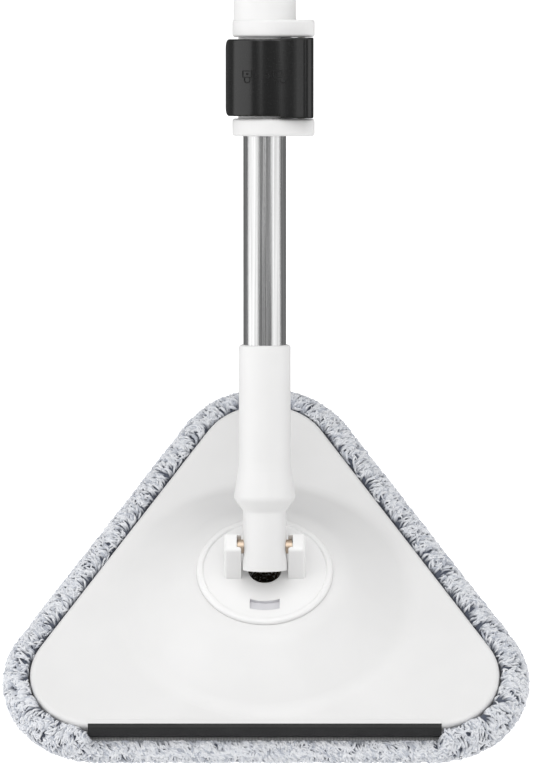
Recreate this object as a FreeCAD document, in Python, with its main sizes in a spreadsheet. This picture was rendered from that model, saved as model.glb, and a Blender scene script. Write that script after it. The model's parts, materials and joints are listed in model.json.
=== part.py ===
import FreeCAD, Part
import math
import os
import Sketcher

# A triangular flat mop with a telescopic handle.
# Frame: millimetres, +Z up, the origin on the floor under the head's swivel axis, +Y towards the
# plate's far corner. The handle leans over +Y. Handle pieces are drawn in the handle's own frame,
# with the hinge pin at its origin and local Z along the tube, and are then turned into place.

SIZES = {
    # how far a blank or a cut runs past the face that ends it
    "overcut": 1.0,
    # handle pose
    "hinge_height": 61.0,
    "handle_elevation": 45.5,
    # plate outline: three corner circles joined by straight sides
    "corner_distance": 99.0,
    "plate_corner_radius": 35.0,
    "plate_bottom": 11.4,
    "plate_edge_height": 20.0,
    "plate_wall": 2.6,
    "plate_edge_round": 2.5,
    "dome_crown_height": 40.5,
    "dome_foot_radius": 80.0,
    "dome_blend_radius": 16.0,
    "well_radius": 34.6,
    "well_floor": 34.0,
    "bore_radius": 13.05,
    "bore_boss_radius": 17.0,
    "bore_boss_bottom": 22.4,
    "cavity_core_radius": 20.0,
    "rib_thickness": 2.0,
    "screw_boss_radius": 4.2,
    "corner_screw_distance": 104.0,
    "side_screw_distance": 48.0,
    "board_thickness": 2.5,
    "board_gap": 0.2,
    # plate screws
    "plate_screw_radius": 1.25,
    "plate_screw_head_radius": 3.0,
    "plate_screw_head_height": 1.75,
    "plate_screw_length": 6.6,
    # squeegee
    "blade_length": 180.0,
    "blade_thickness": 2.7,
    "blade_top": 22.0,
    "blade_bottom": 12.0,
    "blade_taper_top": 15.8,
    "blade_lip_thickness": 1.1,
    "blade_root_low": 15.6,
    "blade_root_high": 17.2,
    "blade_root_depth": 1.6,
    "blade_foot_low": 14.4,
    "blade_foot_high": 18.4,
    "blade_foot_depth": 1.5,
    "blade_rib_thickness": 2.7,
    "blade_block_depth": 4.6,
    "blade_edge_chamfer": 0.6,
    # pad
    "pad_corner_distance": 98.5,
    "pad_corner_radius": 51.9,
    "pad_shift": 3.3,
    "pad_height": 18.0,
    "pad_edge_round": 7.0,
    "pad_clearance": 0.4,
    "blade_front_relief": 16.0,
    "backing_bottom": 8.6,
    "backing_thickness": 1.6,
    "backing_corner_radius": 36.5,
    "binding_width": 2.5,
    # hook strips
    "strip_length": 120.0,
    "strip_width": 20.0,
    "strip_distance": 58.0,
    # hub
    "disc_radius": 34.2,
    "lip_radius": 35.3,
    "lip_bottom": 40.8,
    "lip_width": 3.0,
    "lip_height": 43.0,
    "lip_slope": 0.6,
    "lip_outer_round": 1.6,
    "lip_inner_round": 0.4,
    "disc_top": 42.0,
    "disc_wall": 3.0,
    "skirt_thickness": 2.5,
    "skirt_bottom": 34.9,
    "spigot_radius": 13.0,
    "spigot_bore": 8.6,
    "spigot_bottom": 22.2,
    "slot_half_width": 7.6,
    "slot_inner_radius": 20.6,
    "slot_outer_radius": 26.6,
    "slot_depth": 2.0,
    "ear_inner": 12.1,
    "ear_outer": 20.9,
    "ear_half_depth": 5.9,
    "ear_top": 65.4,
    "ear_round": 1.8,
    "recess_floor": 14.4,
    "recess_half_depth": 3.9,
    "recess_bottom": 55.0,
    "pin_radius": 2.25,
    "pin_half_length": 20.5,
    "pin_chamfer": 0.4,
    "washer_radius": 3.6,
    "washer_inner_face": 10.7,
    "washer_outer_face": 14.0,
    "thrust_washer_inner": 27.0,
    "thrust_washer_outer": 34.1,
    "thrust_washer_thickness": 0.8,
    "ring_radius": 17.0,
    "ring_thickness": 2.0,
    "ring_screw_circle": 10.8,
    "ring_screw_radius": 1.3,
    "ring_screw_head_radius": 2.4,
    "ring_screw_head_height": 1.6,
    "ring_screw_depth": 8.0,
    "ring_screw_tip_gap": 0.5,
    # neck (stations are distances along the handle from the hinge pin)
    "neck_end": -12.0,
    "neck_end_radius": 11.3,
    "neck_radius": 11.15,
    "neck_hollow_radius": 8.4,
    "neck_hollow_top": 16.0,
    "bulge_start": 18.6,
    "bulge_station": 25.3,
    "bulge_radius": 16.1,
    "sleeve_start": 42.0,
    "sleeve_radius": 13.3,
    "sleeve_end": 104.0,
    "neck_well_radius": 8.2,
    "neck_well_bottom": 20.0,
    "neck_pin_boss": 4.2,
    "neck_pin_bore": 2.3,
    "neck_spot_radius": 4.1,
    "neck_spot_face": 10.6,
    "bulge_round": 4.5,
    "bulge_root_round": 2.0,
    "shoulder_round": 30.0,
    "mouth_round": 1.4,
    # tubes
    "tube_radius": 11.0,
    "tube_bore": 10.0,
    "tube_start": 30.0,
    "tube_end": 690.0,
    "guide_radius": 11.55,
    "guide_bore": 7.5,
    "guide_plug_length": 14.0,
    "guide_cap_length": 12.0,
    "outer_tube_radius": 12.5,
    "outer_tube_bore": 11.6,
    "outer_tube_start": 272.0,
    "outer_tube_end": 905.0,
    # side screws of the neck and the clamp
    "side_screw_radius": 1.5,
    "side_screw_head_radius": 3.0,
    "side_screw_head_height": 1.5,
    "side_screw_head_gap": 0.2,
    "neck_screw_station": 90.0,
    "neck_screw_seat": 12.7,
    "neck_screw_tip": 8.6,
    "clamp_screw_station": 298.0,
    "clamp_screw_seat": 15.2,
    "clamp_screw_tip": 11.45,
    # clamp
    "clamp_start": 211.0,
    "lower_flange_end": 219.8,
    "upper_flange_start": 261.3,
    "upper_flange_end": 270.2,
    "flange_radius": 16.6,
    "flange_round": 1.4,
    "lobe_radius": 6.9,
    "pivot_across": 18.6,
    "pivot_forward": 5.0,
    "collar_radius": 13.6,
    "collar_bore": 11.35,
    "clamp_neck_radius": 15.95,
    "clamp_neck_end": 318.0,
    "bush_bore": 11.05,
    "bush_radius": 12.6,
    "bush_start": 211.8,
    "bush_end": 222.0,
    "shoe_bore": 11.06,
    "shoe_radius": 12.55,
    "shoe_half_angle": 24.0,
    "shoe_start": 230.5,
    "shoe_end": 250.5,
    "window_margin": 0.3,
    "window_angle_margin": 1.5,
    "lever_pin_radius": 1.8,
    "lever_pin_start": 212.0,
    "lever_pin_end": 269.4,
    # lever
    "lever_start": 221.1,
    "lever_end": 260.2,
    "barrel_start": 220.1,
    "barrel_end": 261.0,
    "barrel_radius": 6.2,
    "barrel_bore": 1.85,
    "barrel_recess": 6.9,
    "cam_radius": 6.1,
    "cam_throw": 0.45,
    "lever_outer_radius": 18.7,
    "lever_outer_shift": 1.6,
    "lever_inner_radius": 15.6,
    "lever_inner_shift": 1.3,
    "lever_root_angle": 22.0,
    "lever_tip_angle": 172.0,
    "lever_corner_round": 5.0,
    "lever_edge_round": 0.8,
    "lever_valley_angle": 12.0,
    "lever_valley_radius": 27.0,
    "lever_ridge_slope": 18.0,
    "lever_ridge_round": 4.0,
    # grip and cap
    "grip_start": 742.0,
    "grip_end": 892.0,
    "grip_radius": 15.6,
    "grip_end_radius": 17.2,
    "grip_bead_length": 6.0,
    "grip_bead_slope": 3.6,
    "grip_groove_inset": 12.0,
    "grip_groove_width": 2.0,
    "grip_groove_depth": 0.9,
    "grip_groove_pitch": 9.0,
    "grip_groove_count": 15.0,
    "cap_plug_start": 885.0,
    "cap_plug_bore": 8.5,
    "cap_radius": 13.6,
    "cap_end": 915.0,
    "cap_round": 2.0,
    "loop_radius": 13.0,
    "loop_station": 928.0,
    "loop_hole_radius": 5.2,
    "loop_thickness": 8.0,
    "loop_stem_half_width": 12.0,
    "loop_root_depth": 3.0,
}

CORNER_ANGLES = (90.0, 210.0, 330.0)
SIDE_ANGLES = (30.0, 150.0, 270.0)
NEAR = 1e-3

doc = FreeCAD.newDocument("triangle_mop")
sizes = doc.addObject("Spreadsheet::Sheet", "sizes")


def fill_sheet():
    for row, (alias, number) in enumerate(SIZES.items(), start=1):
        sizes.set("A%d" % row, alias)
        sizes.set("B%d" % row, str(number))
        sizes.setAlias("B%d" % row, alias)
    doc.recompute()


def value(expression):
    """The number that an expression over the sheet's aliases gives."""
    result = sizes.evalExpression(expression)
    return float(getattr(result, "Value", result))


def cell(alias):
    return float(sizes.get(alias))


def full(expression):
    """The same expression with each alias written as sizes.alias, for objects outside the sheet."""
    words = []
    word = ""
    for letter in expression + " ":
        if letter.isalnum() or letter == "_":
            word += letter
            continue
        words.append("sizes." + word if word in SIZES else word)
        words.append(letter)
        word = ""
    return "".join(words).strip()


def bind(thing, prop, expression):
    thing.setExpression(prop, full(expression))


# ---------- sketches ----------

def new_body(name):
    return doc.addObject("PartDesign::Body", name)


def origin_plane(body, role):
    for feature in body.Origin.OriginFeatures:
        if feature.Role == role:
            return feature
    raise ValueError(role)


def new_sketch(body, name, role, offset=None):
    sketch = body.newObject("Sketcher::SketchObject", name)
    sketch.AttachmentSupport = [(origin_plane(body, role), "")]
    sketch.MapMode = "FlatFace"
    if offset is not None:
        bind(sketch, "AttachmentOffset.Base.z", offset)
    return sketch


def name_constraint(sketch, index, expression):
    """Bind a driving constraint to the sheet."""
    name = "size%d" % index
    sketch.renameConstraint(index, name)
    bind(sketch, "Constraints." + name, expression)


def pin_coordinate(sketch, kind, axis, geometry, position, expression):
    """Hold one coordinate of a point: on the axis when it is zero, at a distance otherwise."""
    number = value(expression)
    if number == 0:
        sketch.addConstraint(Sketcher.Constraint("PointOnObject", geometry, position, axis))
        return
    index = sketch.addConstraint(
        Sketcher.Constraint(kind, -1, 1, geometry, position, number))
    name_constraint(sketch, index, expression)


def pin_point(sketch, geometry, position, across, along):
    pin_coordinate(sketch, "DistanceX", -2, geometry, position, across)
    pin_coordinate(sketch, "DistanceY", -1, geometry, position, along)


def add_polygon(sketch, corners):
    """A closed outline of straight sides through corners given as pairs of expressions."""
    points = [FreeCAD.Vector(value(a), value(b), 0) for a, b in corners]
    count = len(points)
    first = sketch.GeometryCount
    for index in range(count):
        sketch.addGeometry(Part.LineSegment(points[index], points[(index + 1) % count]), False)
    for index in range(count):
        after = first + (index + 1) % count
        sketch.addConstraint(Sketcher.Constraint("Coincident", first + index, 2, after, 1))
    for index, (across, along) in enumerate(corners):
        pin_point(sketch, first + index, 1, across, along)


def add_circle(sketch, across, along, radius):
    centre = FreeCAD.Vector(value(across), value(along), 0)
    circle = Part.Circle(centre, FreeCAD.Vector(0, 0, 1), value(radius))
    geometry = sketch.addGeometry(circle, False)
    pin_point(sketch, geometry, 3, across, along)
    index = sketch.addConstraint(Sketcher.Constraint("Radius", geometry, value(radius)))
    name_constraint(sketch, index, radius)
    return geometry


def add_arc(sketch, centre, radius, start, end):
    circle = Part.Circle(FreeCAD.Vector(centre[0], centre[1], 0), FreeCAD.Vector(0, 0, 1), radius)
    return sketch.addGeometry(Part.ArcOfCircle(circle, start, end), False)


def add_rounded_triangle(sketch, distance, radius):
    """Three corner arcs about centres at a distance from the origin, joined by tangent sides."""
    far = value(distance)
    size = value(radius)
    arcs = []
    for angle in CORNER_ANGLES:
        turn = math.radians(angle)
        centre = (far * math.cos(turn), far * math.sin(turn))
        arc = add_arc(sketch, centre, size, turn - math.pi / 3, turn + math.pi / 3)
        pin_point(sketch, arc, 3, "%s * cos(%g)" % (distance, angle), "%s * sin(%g)" % (distance, angle))
        index = sketch.addConstraint(Sketcher.Constraint("Radius", arc, size))
        name_constraint(sketch, index, radius)
        arcs.append(arc)
    for index, arc in enumerate(arcs):
        after = arcs[(index + 1) % len(arcs)]
        start = sketch.getPoint(arc, 2)
        end = sketch.getPoint(after, 1)
        side = sketch.addGeometry(Part.LineSegment(start, end), False)
        sketch.addConstraint(Sketcher.Constraint("Tangent", arc, 2, side, 1))
        sketch.addConstraint(Sketcher.Constraint("Tangent", side, 2, after, 1))


def add_belt(sketch, radius, across, along, small_radius):
    """The outline round a large circle at the origin and a small one beside it."""
    centre = (value(across), value(along))
    large = value(radius)
    small = value(small_radius)
    reach = math.hypot(*centre)
    heading = math.atan2(centre[1], centre[0])
    spread = math.acos((large - small) / reach)
    big_arc = add_arc(sketch, (0, 0), large, heading + spread, heading - spread + 2 * math.pi)
    small_arc = add_arc(sketch, centre, small, heading - spread, heading + spread)
    lower = Part.LineSegment(sketch.getPoint(big_arc, 2), sketch.getPoint(small_arc, 1))
    upper = Part.LineSegment(sketch.getPoint(small_arc, 2), sketch.getPoint(big_arc, 1))
    lower_side = sketch.addGeometry(lower, False)
    upper_side = sketch.addGeometry(upper, False)
    pin_point(sketch, big_arc, 3, "0", "0")
    pin_point(sketch, small_arc, 3, across, along)
    for arc, expression in ((big_arc, radius), (small_arc, small_radius)):
        index = sketch.addConstraint(Sketcher.Constraint("Radius", arc, value(expression)))
        name_constraint(sketch, index, expression)
    sketch.addConstraint(Sketcher.Constraint("Tangent", big_arc, 2, lower_side, 1))
    sketch.addConstraint(Sketcher.Constraint("Tangent", lower_side, 2, small_arc, 1))
    sketch.addConstraint(Sketcher.Constraint("Tangent", small_arc, 2, upper_side, 1))
    sketch.addConstraint(Sketcher.Constraint("Tangent", upper_side, 2, big_arc, 1))


# ---------- features ----------

def pad(body, sketch, length, symmetric=False):
    feature = body.newObject("PartDesign::Pad", sketch.Name + "_pad")
    feature.Profile = sketch
    bind(feature, "Length", length)
    if symmetric:
        feature.Midplane = True
    return feature


def require_cut(body, feature, before):
    doc.recompute()
    if feature.Shape.Volume > before - NEAR:
        raise RuntimeError(feature.Name + " removes nothing")


def pocket(body, sketch, length, symmetric=False, reverse=False):
    doc.recompute()
    before = body.Shape.Volume
    feature = body.newObject("PartDesign::Pocket", sketch.Name + "_pocket")
    feature.Profile = sketch
    bind(feature, "Length", length)
    feature.Reversed = reverse
    if symmetric:
        feature.Midplane = True
    require_cut(body, feature, before)
    return feature


def revolve(body, sketch):
    feature = body.newObject("PartDesign::Revolution", sketch.Name + "_turn")
    feature.Profile = sketch
    feature.ReferenceAxis = (sketch, ["V_Axis"])
    feature.Angle = 360
    return feature


def groove(body, sketch):
    doc.recompute()
    before = body.Shape.Volume
    feature = body.newObject("PartDesign::Groove", sketch.Name + "_groove")
    feature.Profile = sketch
    feature.ReferenceAxis = (sketch, ["V_Axis"])
    feature.Angle = 360
    require_cut(body, feature, before)
    return feature


def round_edges(body, name, radius, chosen):
    """Fillet the edges of the body's tip for which chosen(edge) is true."""
    doc.recompute()
    base = body.Tip
    names = ["Edge%d" % i for i, edge in enumerate(base.Shape.Edges, start=1) if chosen(edge)]
    if not names:
        raise RuntimeError(name + " finds no edge")
    feature = body.newObject("PartDesign::Fillet", name)
    feature.Base = (base, names)
    bind(feature, "Radius", radius)
    doc.recompute()
    return feature


def mirror(body, name, features):
    feature = body.newObject("PartDesign::Mirrored", name)
    feature.Originals = features
    feature.MirrorPlane = (origin_plane(body, "YZ_Plane"), [""])
    body.Tip = feature
    return feature


def edge_in_plane(edge, height):
    box = edge.BoundBox
    return abs(box.ZMin - height) < NEAR and abs(box.ZMax - height) < NEAR


def circle_at(edge, radius, height):
    """True for a full circle about the local Z axis with this radius at this height."""
    curve = edge.Curve
    if curve.TypeId != "Part::GeomCircle":
        return False
    centre = curve.Center
    on_axis = math.hypot(centre.x, centre.y) < NEAR
    return on_axis and abs(curve.Radius - radius) < NEAR and abs(centre.z - height) < NEAR


def turned(name, section):
    """A body turned about its Z axis from a section of (radius, height) expressions."""
    body = new_body(name)
    sketch = new_sketch(body, name + "_section", "XZ_Plane")
    add_polygon(sketch, section)
    revolve(body, sketch)
    return body


def cylinder(name, radius, height, bottom):
    feature = doc.addObject("Part::Cylinder", name)
    bind(feature, "Radius", radius)
    bind(feature, "Height", height)
    bind(feature, "Placement.Base.z", bottom)
    return feature


def place_on_handle(thing):
    """Turn a piece drawn in the handle's frame into the mop's frame."""
    thing.Placement = FreeCAD.Placement(
        FreeCAD.Vector(0, 0, cell("hinge_height")),
        FreeCAD.Rotation(FreeCAD.Vector(1, 0, 0), cell("handle_elevation") - 90))
    bind(thing, "Placement.Base.z", "hinge_height")
    bind(thing, "Placement.Rotation.Angle", "handle_elevation - 90")
    return thing


def polar(distance, angle):
    return "%s * cos(%g)" % (distance, angle), "%s * sin(%g)" % (distance, angle)


# ---------- head ----------

def add_dome_section(sketch, depth):
    """The space above the dome, or above the shell's inside when depth is the wall thickness."""
    crown_radius = value("well_radius + plate_wall")
    crown = value("dome_crown_height")
    foot_radius = value("dome_foot_radius")
    foot = value("plate_edge_height")
    blend = value("dome_blend_radius")
    inset = value(depth)
    upper_centre = (crown_radius, crown - blend)
    lower_centre = (foot_radius, foot + blend)
    run = foot_radius - crown_radius
    rise = lower_centre[1] - upper_centre[1]
    slope = math.asin(2 * blend / math.hypot(run, rise)) - math.atan2(rise, run)
    upper = add_arc(sketch, upper_centre, blend - inset, math.pi / 2 - slope, math.pi / 2)
    lower = add_arc(sketch, lower_centre, blend + inset, 1.5 * math.pi - slope, 1.5 * math.pi)
    flank = Part.LineSegment(sketch.getPoint(upper, 1), sketch.getPoint(lower, 1))
    side = sketch.addGeometry(flank, False)
    far = value("dome_foot_radius + corner_distance")
    land_end = FreeCAD.Vector(far, foot - inset, 0)
    top_end = FreeCAD.Vector(far, 2 * crown, 0)
    top_start = FreeCAD.Vector(0, 2 * crown, 0)
    crown_start = FreeCAD.Vector(0, crown - inset, 0)
    stops = [sketch.getPoint(lower, 2), land_end, top_end, top_start, crown_start,
             sketch.getPoint(upper, 2)]
    lines = []
    for start, end in zip(stops[:-1], stops[1:]):
        lines.append(sketch.addGeometry(Part.LineSegment(start, end), False))
    sketch.addConstraint(Sketcher.Constraint("Tangent", upper, 1, side, 1))
    sketch.addConstraint(Sketcher.Constraint("Tangent", side, 2, lower, 1))
    sketch.addConstraint(Sketcher.Constraint("Coincident", lower, 2, lines[0], 1))
    for first, second in zip(lines[:-1], lines[1:]):
        sketch.addConstraint(Sketcher.Constraint("Coincident", first, 2, second, 1))
    sketch.addConstraint(Sketcher.Constraint("Coincident", lines[-1], 2, upper, 2))
    pin_point(sketch, upper, 3, "well_radius + plate_wall", "dome_crown_height - dome_blend_radius")
    pin_point(sketch, lower, 3, "dome_foot_radius", "plate_edge_height + dome_blend_radius")
    pin_point(sketch, lower, 2, "dome_foot_radius", "plate_edge_height - " + depth)
    pin_point(sketch, lines[1], 1, "dome_foot_radius + corner_distance", "plate_edge_height - " + depth)
    pin_point(sketch, lines[2], 1, "dome_foot_radius + corner_distance", "2 * dome_crown_height")
    pin_point(sketch, lines[3], 1, "0", "2 * dome_crown_height")
    pin_point(sketch, lines[4], 1, "0", "dome_crown_height - " + depth)
    pin_point(sketch, upper, 2, "well_radius + plate_wall", "dome_crown_height - " + depth)


def plate_side():
    """The local Y of the plate's side that carries the squeegee."""
    return "-(corner_distance / 2 + plate_corner_radius)"


def plate_outside():
    body = new_body("plate_outside")
    outline = new_sketch(body, "plate_outline", "XY_Plane", "plate_bottom")
    add_rounded_triangle(outline, "corner_distance", "plate_corner_radius")
    pad(body, outline, "dome_crown_height + overcut - plate_bottom")
    dome = new_sketch(body, "dome_section", "XZ_Plane")
    add_dome_section(dome, "0")
    groove(body, dome)
    edge_height = cell("plate_edge_height")
    round_edges(body, "plate_edge_fillet", "plate_edge_round",
                lambda edge: edge_in_plane(edge, edge_height) and edge.BoundBox.DiagonalLength > 1
                and not circle_at(edge, cell("dome_foot_radius"), edge_height))
    rib = new_sketch(body, "blade_rib", "XY_Plane", "blade_root_high")
    half = "blade_length / 2"
    side = plate_side()
    inner = side + " + blade_rib_thickness"
    add_polygon(rib, [("-" + half, side), (half, side), (half, inner), ("-" + half, inner)])
    pad(body, rib, "blade_top - blade_root_high")
    well = new_sketch(body, "plate_well", "XY_Plane", "well_floor")
    add_circle(well, "0", "0", "well_radius")
    pocket(body, well, "dome_crown_height - well_floor + overcut", reverse=True)
    bore = new_sketch(body, "plate_bore", "XY_Plane", "plate_bottom - overcut")
    add_circle(bore, "0", "0", "bore_radius")
    pocket(body, bore, "well_floor", reverse=True)
    channel = new_sketch(body, "blade_channel", "YZ_Plane")
    add_polygon(channel, blade_root_section())
    pocket(body, channel, "blade_length", symmetric=True)
    return body


def plate_cavity():
    """The space inside the shell, before its bosses and ribs are left standing."""
    body = new_body("plate_cavity")
    outline = new_sketch(body, "cavity_outline", "XY_Plane", "plate_bottom")
    add_rounded_triangle(outline, "corner_distance", "plate_corner_radius - plate_wall")
    pad(body, outline, "dome_crown_height + overcut - plate_bottom")
    dome = new_sketch(body, "cavity_dome_section", "XZ_Plane")
    add_dome_section(dome, "plate_wall")
    groove(body, dome)
    floor = new_sketch(body, "well_underside", "XY_Plane", "well_floor - plate_wall")
    add_circle(floor, "0", "0", "well_radius + plate_wall")
    pocket(body, floor, "dome_crown_height", reverse=True)
    return body


def plate_supports():
    """What stands inside the shell: screw bosses, radial ribs, the bore's boss, the blade's block."""
    bottom = "plate_bottom + board_thickness"
    height = "dome_crown_height - plate_bottom"
    pieces = []
    for index, (distance, angle) in enumerate(screw_places()):
        boss = cylinder("screw_boss_%d" % index, "screw_boss_radius", height, bottom)
        across, along = polar(distance, angle)
        bind(boss, "Placement.Base.x", across)
        bind(boss, "Placement.Base.y", along)
        pieces.append(boss)
    for index, turn in enumerate(SIDE_ANGLES):
        rib = doc.addObject("Part::Box", "radial_rib_%d" % index)
        bind(rib, "Length", "2 * (corner_distance + plate_corner_radius)")
        bind(rib, "Width", "rib_thickness")
        bind(rib, "Height", height)
        rib.Placement.Rotation = FreeCAD.Rotation(FreeCAD.Vector(0, 0, 1), turn)
        reach = "(corner_distance + plate_corner_radius)"
        half = "rib_thickness / 2"
        bind(rib, "Placement.Base.x", "-%s * cos(%g) + %s * sin(%g)" % (reach, turn, half, turn))
        bind(rib, "Placement.Base.y", "-%s * sin(%g) - %s * cos(%g)" % (reach, turn, half, turn))
        bind(rib, "Placement.Base.z", bottom)
        pieces.append(rib)
    block = doc.addObject("Part::Box", "blade_block")
    bind(block, "Length", "blade_length")
    bind(block, "Width", "blade_block_depth")
    bind(block, "Height", height)
    bind(block, "Placement.Base.x", "-blade_length / 2")
    bind(block, "Placement.Base.y", plate_side())
    bind(block, "Placement.Base.z", bottom)
    pieces.append(block)
    standing = doc.addObject("Part::MultiFuse", "supports_whole")
    standing.Shapes = pieces
    core = cylinder("cavity_core", "cavity_core_radius", height, "plate_bottom")
    open_core = doc.addObject("Part::Cut", "supports_open")
    open_core.Base = standing
    open_core.Tool = core
    boss = cylinder("bore_boss", "bore_boss_radius", "well_floor - bore_boss_bottom", "bore_boss_bottom")
    supports = doc.addObject("Part::Fuse", "supports")
    supports.Base = open_core
    supports.Tool = boss
    return supports


def screw_places():
    corners = [("corner_screw_distance", angle) for angle in CORNER_ANGLES]
    sides = [("side_screw_distance", angle) for angle in SIDE_ANGLES]
    return corners + sides


def screw_set(name, radius, height, bottom, places):
    """Equal upright cylinders at polar places, as one compound of separate solids."""
    pieces = []
    for index, (distance, angle) in enumerate(places):
        piece = cylinder("%s_%d" % (name, index), radius, height, bottom)
        across, along = polar(distance, angle)
        bind(piece, "Placement.Base.x", across)
        bind(piece, "Placement.Base.y", along)
        pieces.append(piece)
    group = doc.addObject("Part::Compound", name)
    group.Links = pieces
    return group


def mop_plate():
    hollow = doc.addObject("Part::Cut", "plate_hollow")
    hollow.Base = plate_cavity()
    hollow.Tool = plate_supports()
    shell = doc.addObject("Part::Cut", "plate_shell")
    shell.Base = plate_outside()
    shell.Tool = hollow
    pilots = screw_set("plate_pilots", "plate_screw_radius", "plate_screw_length",
                       "plate_bottom", screw_places())
    plate = doc.addObject("Part::Cut", "mop_plate")
    plate.Base = shell
    plate.Tool = pilots
    return plate


def base_board():
    body = new_body("board_blank")
    outline = new_sketch(body, "board_outline", "XY_Plane", "plate_bottom")
    add_rounded_triangle(outline, "corner_distance", "plate_corner_radius - plate_wall - board_gap")
    pad(body, outline, "board_thickness")
    doc.recompute()
    board = doc.addObject("Part::Cut", "base_board")
    board.Base = body
    board.Tool = plate_screw_group("board_hole")
    return board


def plate_screw_group(name):
    """Countersunk screws, head down, flush with the board's underside."""
    pieces = []
    for index, (distance, angle) in enumerate(screw_places()):
        head = doc.addObject("Part::Cone", "%s_head_%d" % (name, index))
        bind(head, "Radius1", "plate_screw_head_radius")
        bind(head, "Radius2", "plate_screw_radius")
        bind(head, "Height", "plate_screw_head_height")
        shank = doc.addObject("Part::Cylinder", "%s_shank_%d" % (name, index))
        bind(shank, "Radius", "plate_screw_radius")
        bind(shank, "Height", "plate_screw_length")
        screw = doc.addObject("Part::Fuse", "%s_%d" % (name, index))
        screw.Base = head
        screw.Tool = shank
        across, along = polar(distance, angle)
        bind(screw, "Placement.Base.x", across)
        bind(screw, "Placement.Base.y", along)
        bind(screw, "Placement.Base.z", "plate_bottom")
        pieces.append(screw)
    group = doc.addObject("Part::Compound", name)
    group.Links = pieces
    return group


def blade_root_section():
    """The T-shaped root that the plate's channel holds."""
    side = plate_side()
    neck = side + " + blade_root_depth"
    back = neck + " + blade_foot_depth"
    return [(side, "blade_root_low"), (side, "blade_root_high"), (neck, "blade_root_high"),
            (neck, "blade_foot_high"), (back, "blade_foot_high"), (back, "blade_foot_low"),
            (neck, "blade_foot_low"), (neck, "blade_root_low")]


def squeegee_blade():
    body = new_body("squeegee_blade")
    side = plate_side()
    face = side + " - blade_thickness"
    lip = side + " - blade_lip_thickness"
    front = [(side, "blade_top"), (face + " + blade_edge_chamfer", "blade_top"),
             (face, "blade_top - blade_edge_chamfer"), (face, "blade_taper_top"),
             (lip, "blade_bottom"), (side, "blade_bottom")]
    root = blade_root_section()
    section = front + [root[0], root[7], root[6], root[5], root[4], root[3], root[2], root[1]]
    sketch = new_sketch(body, "blade_section", "YZ_Plane")
    add_polygon(sketch, section)
    pad(body, sketch, "blade_length", symmetric=True)
    return body


def triangle_slab(name, distance, radius, bottom, thickness):
    body = new_body(name)
    sketch = new_sketch(body, name + "_outline", "XY_Plane", bottom)
    add_rounded_triangle(sketch, distance, radius)
    pad(body, sketch, thickness)
    return body


def pad_pile():
    body = new_body("pile_block")
    outline = new_sketch(body, "pile_outline", "XY_Plane")
    add_rounded_triangle(outline, "pad_corner_distance", "pad_corner_radius")
    bind(outline, "AttachmentOffset.Base.y", "pad_shift")
    pad(body, outline, "pad_height")
    top = cell("pad_height")
    round_edges(body, "pile_edge_fillet", "pad_edge_round",
                lambda edge: edge_in_plane(edge, top) or edge_in_plane(edge, 0))
    seat = triangle_slab("pile_seat", "corner_distance", "plate_corner_radius + pad_clearance",
                         "backing_bottom", "pad_height")
    step = triangle_slab("pile_step", "corner_distance", "backing_corner_radius + binding_width",
                         "backing_bottom", "backing_thickness")
    relief = doc.addObject("Part::Box", "blade_relief")
    bind(relief, "Length", "blade_length + 2 * pad_clearance")
    bind(relief, "Width", "blade_thickness + blade_front_relief")
    bind(relief, "Height", "pad_height")
    bind(relief, "Placement.Base.x", "-blade_length / 2 - pad_clearance")
    bind(relief, "Placement.Base.y", plate_side() + " - blade_thickness - blade_front_relief")
    bind(relief, "Placement.Base.z", "blade_bottom - pad_clearance")
    hollow = doc.addObject("Part::MultiFuse", "pile_hollow")
    hollow.Shapes = [seat, step, relief]
    pile = doc.addObject("Part::Cut", "pad_pile")
    pile.Base = body
    pile.Tool = hollow
    return pile


def pad_backing():
    return triangle_slab("pad_backing", "corner_distance", "backing_corner_radius",
                         "backing_bottom", "backing_thickness")


def pad_binding():
    outside = triangle_slab("binding_outside", "corner_distance",
                            "backing_corner_radius + binding_width",
                            "backing_bottom", "backing_thickness")
    inside = triangle_slab("binding_inside", "corner_distance", "backing_corner_radius",
                           "backing_bottom", "backing_thickness")
    binding = doc.addObject("Part::Cut", "pad_binding")
    binding.Base = outside
    binding.Tool = inside
    return binding


def hook_strips():
    """One strip along each side of the board, between the board and the pad's backing."""
    strips = []
    for index, angle in enumerate(SIDE_ANGLES):
        strip = doc.addObject("Part::Box", "hook_strip_%d" % index)
        turn = angle + 90
        bind(strip, "Length", "strip_length")
        bind(strip, "Width", "strip_width")
        bind(strip, "Height", "plate_bottom - backing_bottom - backing_thickness")
        strip.Placement.Rotation = FreeCAD.Rotation(FreeCAD.Vector(0, 0, 1), turn)
        half = "strip_length / 2"
        far = "(strip_distance + strip_width)"
        bind(strip, "Placement.Base.x", "-%s * cos(%g) + %s * cos(%g)" % (half, turn, far, angle))
        bind(strip, "Placement.Base.y", "-%s * sin(%g) + %s * sin(%g)" % (half, turn, far, angle))
        bind(strip, "Placement.Base.z", "backing_bottom + backing_thickness")
        strips.append(strip)
    group = doc.addObject("Part::Compound", "hook_strips")
    group.Links = strips
    return group


def thrust_washer():
    top = "well_floor + thrust_washer_thickness"
    return turned("thrust_washer", [
        ("thrust_washer_inner", "well_floor"), ("thrust_washer_outer", "well_floor"),
        ("thrust_washer_outer", top), ("thrust_washer_inner", top)])


# ---------- hub ----------

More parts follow.
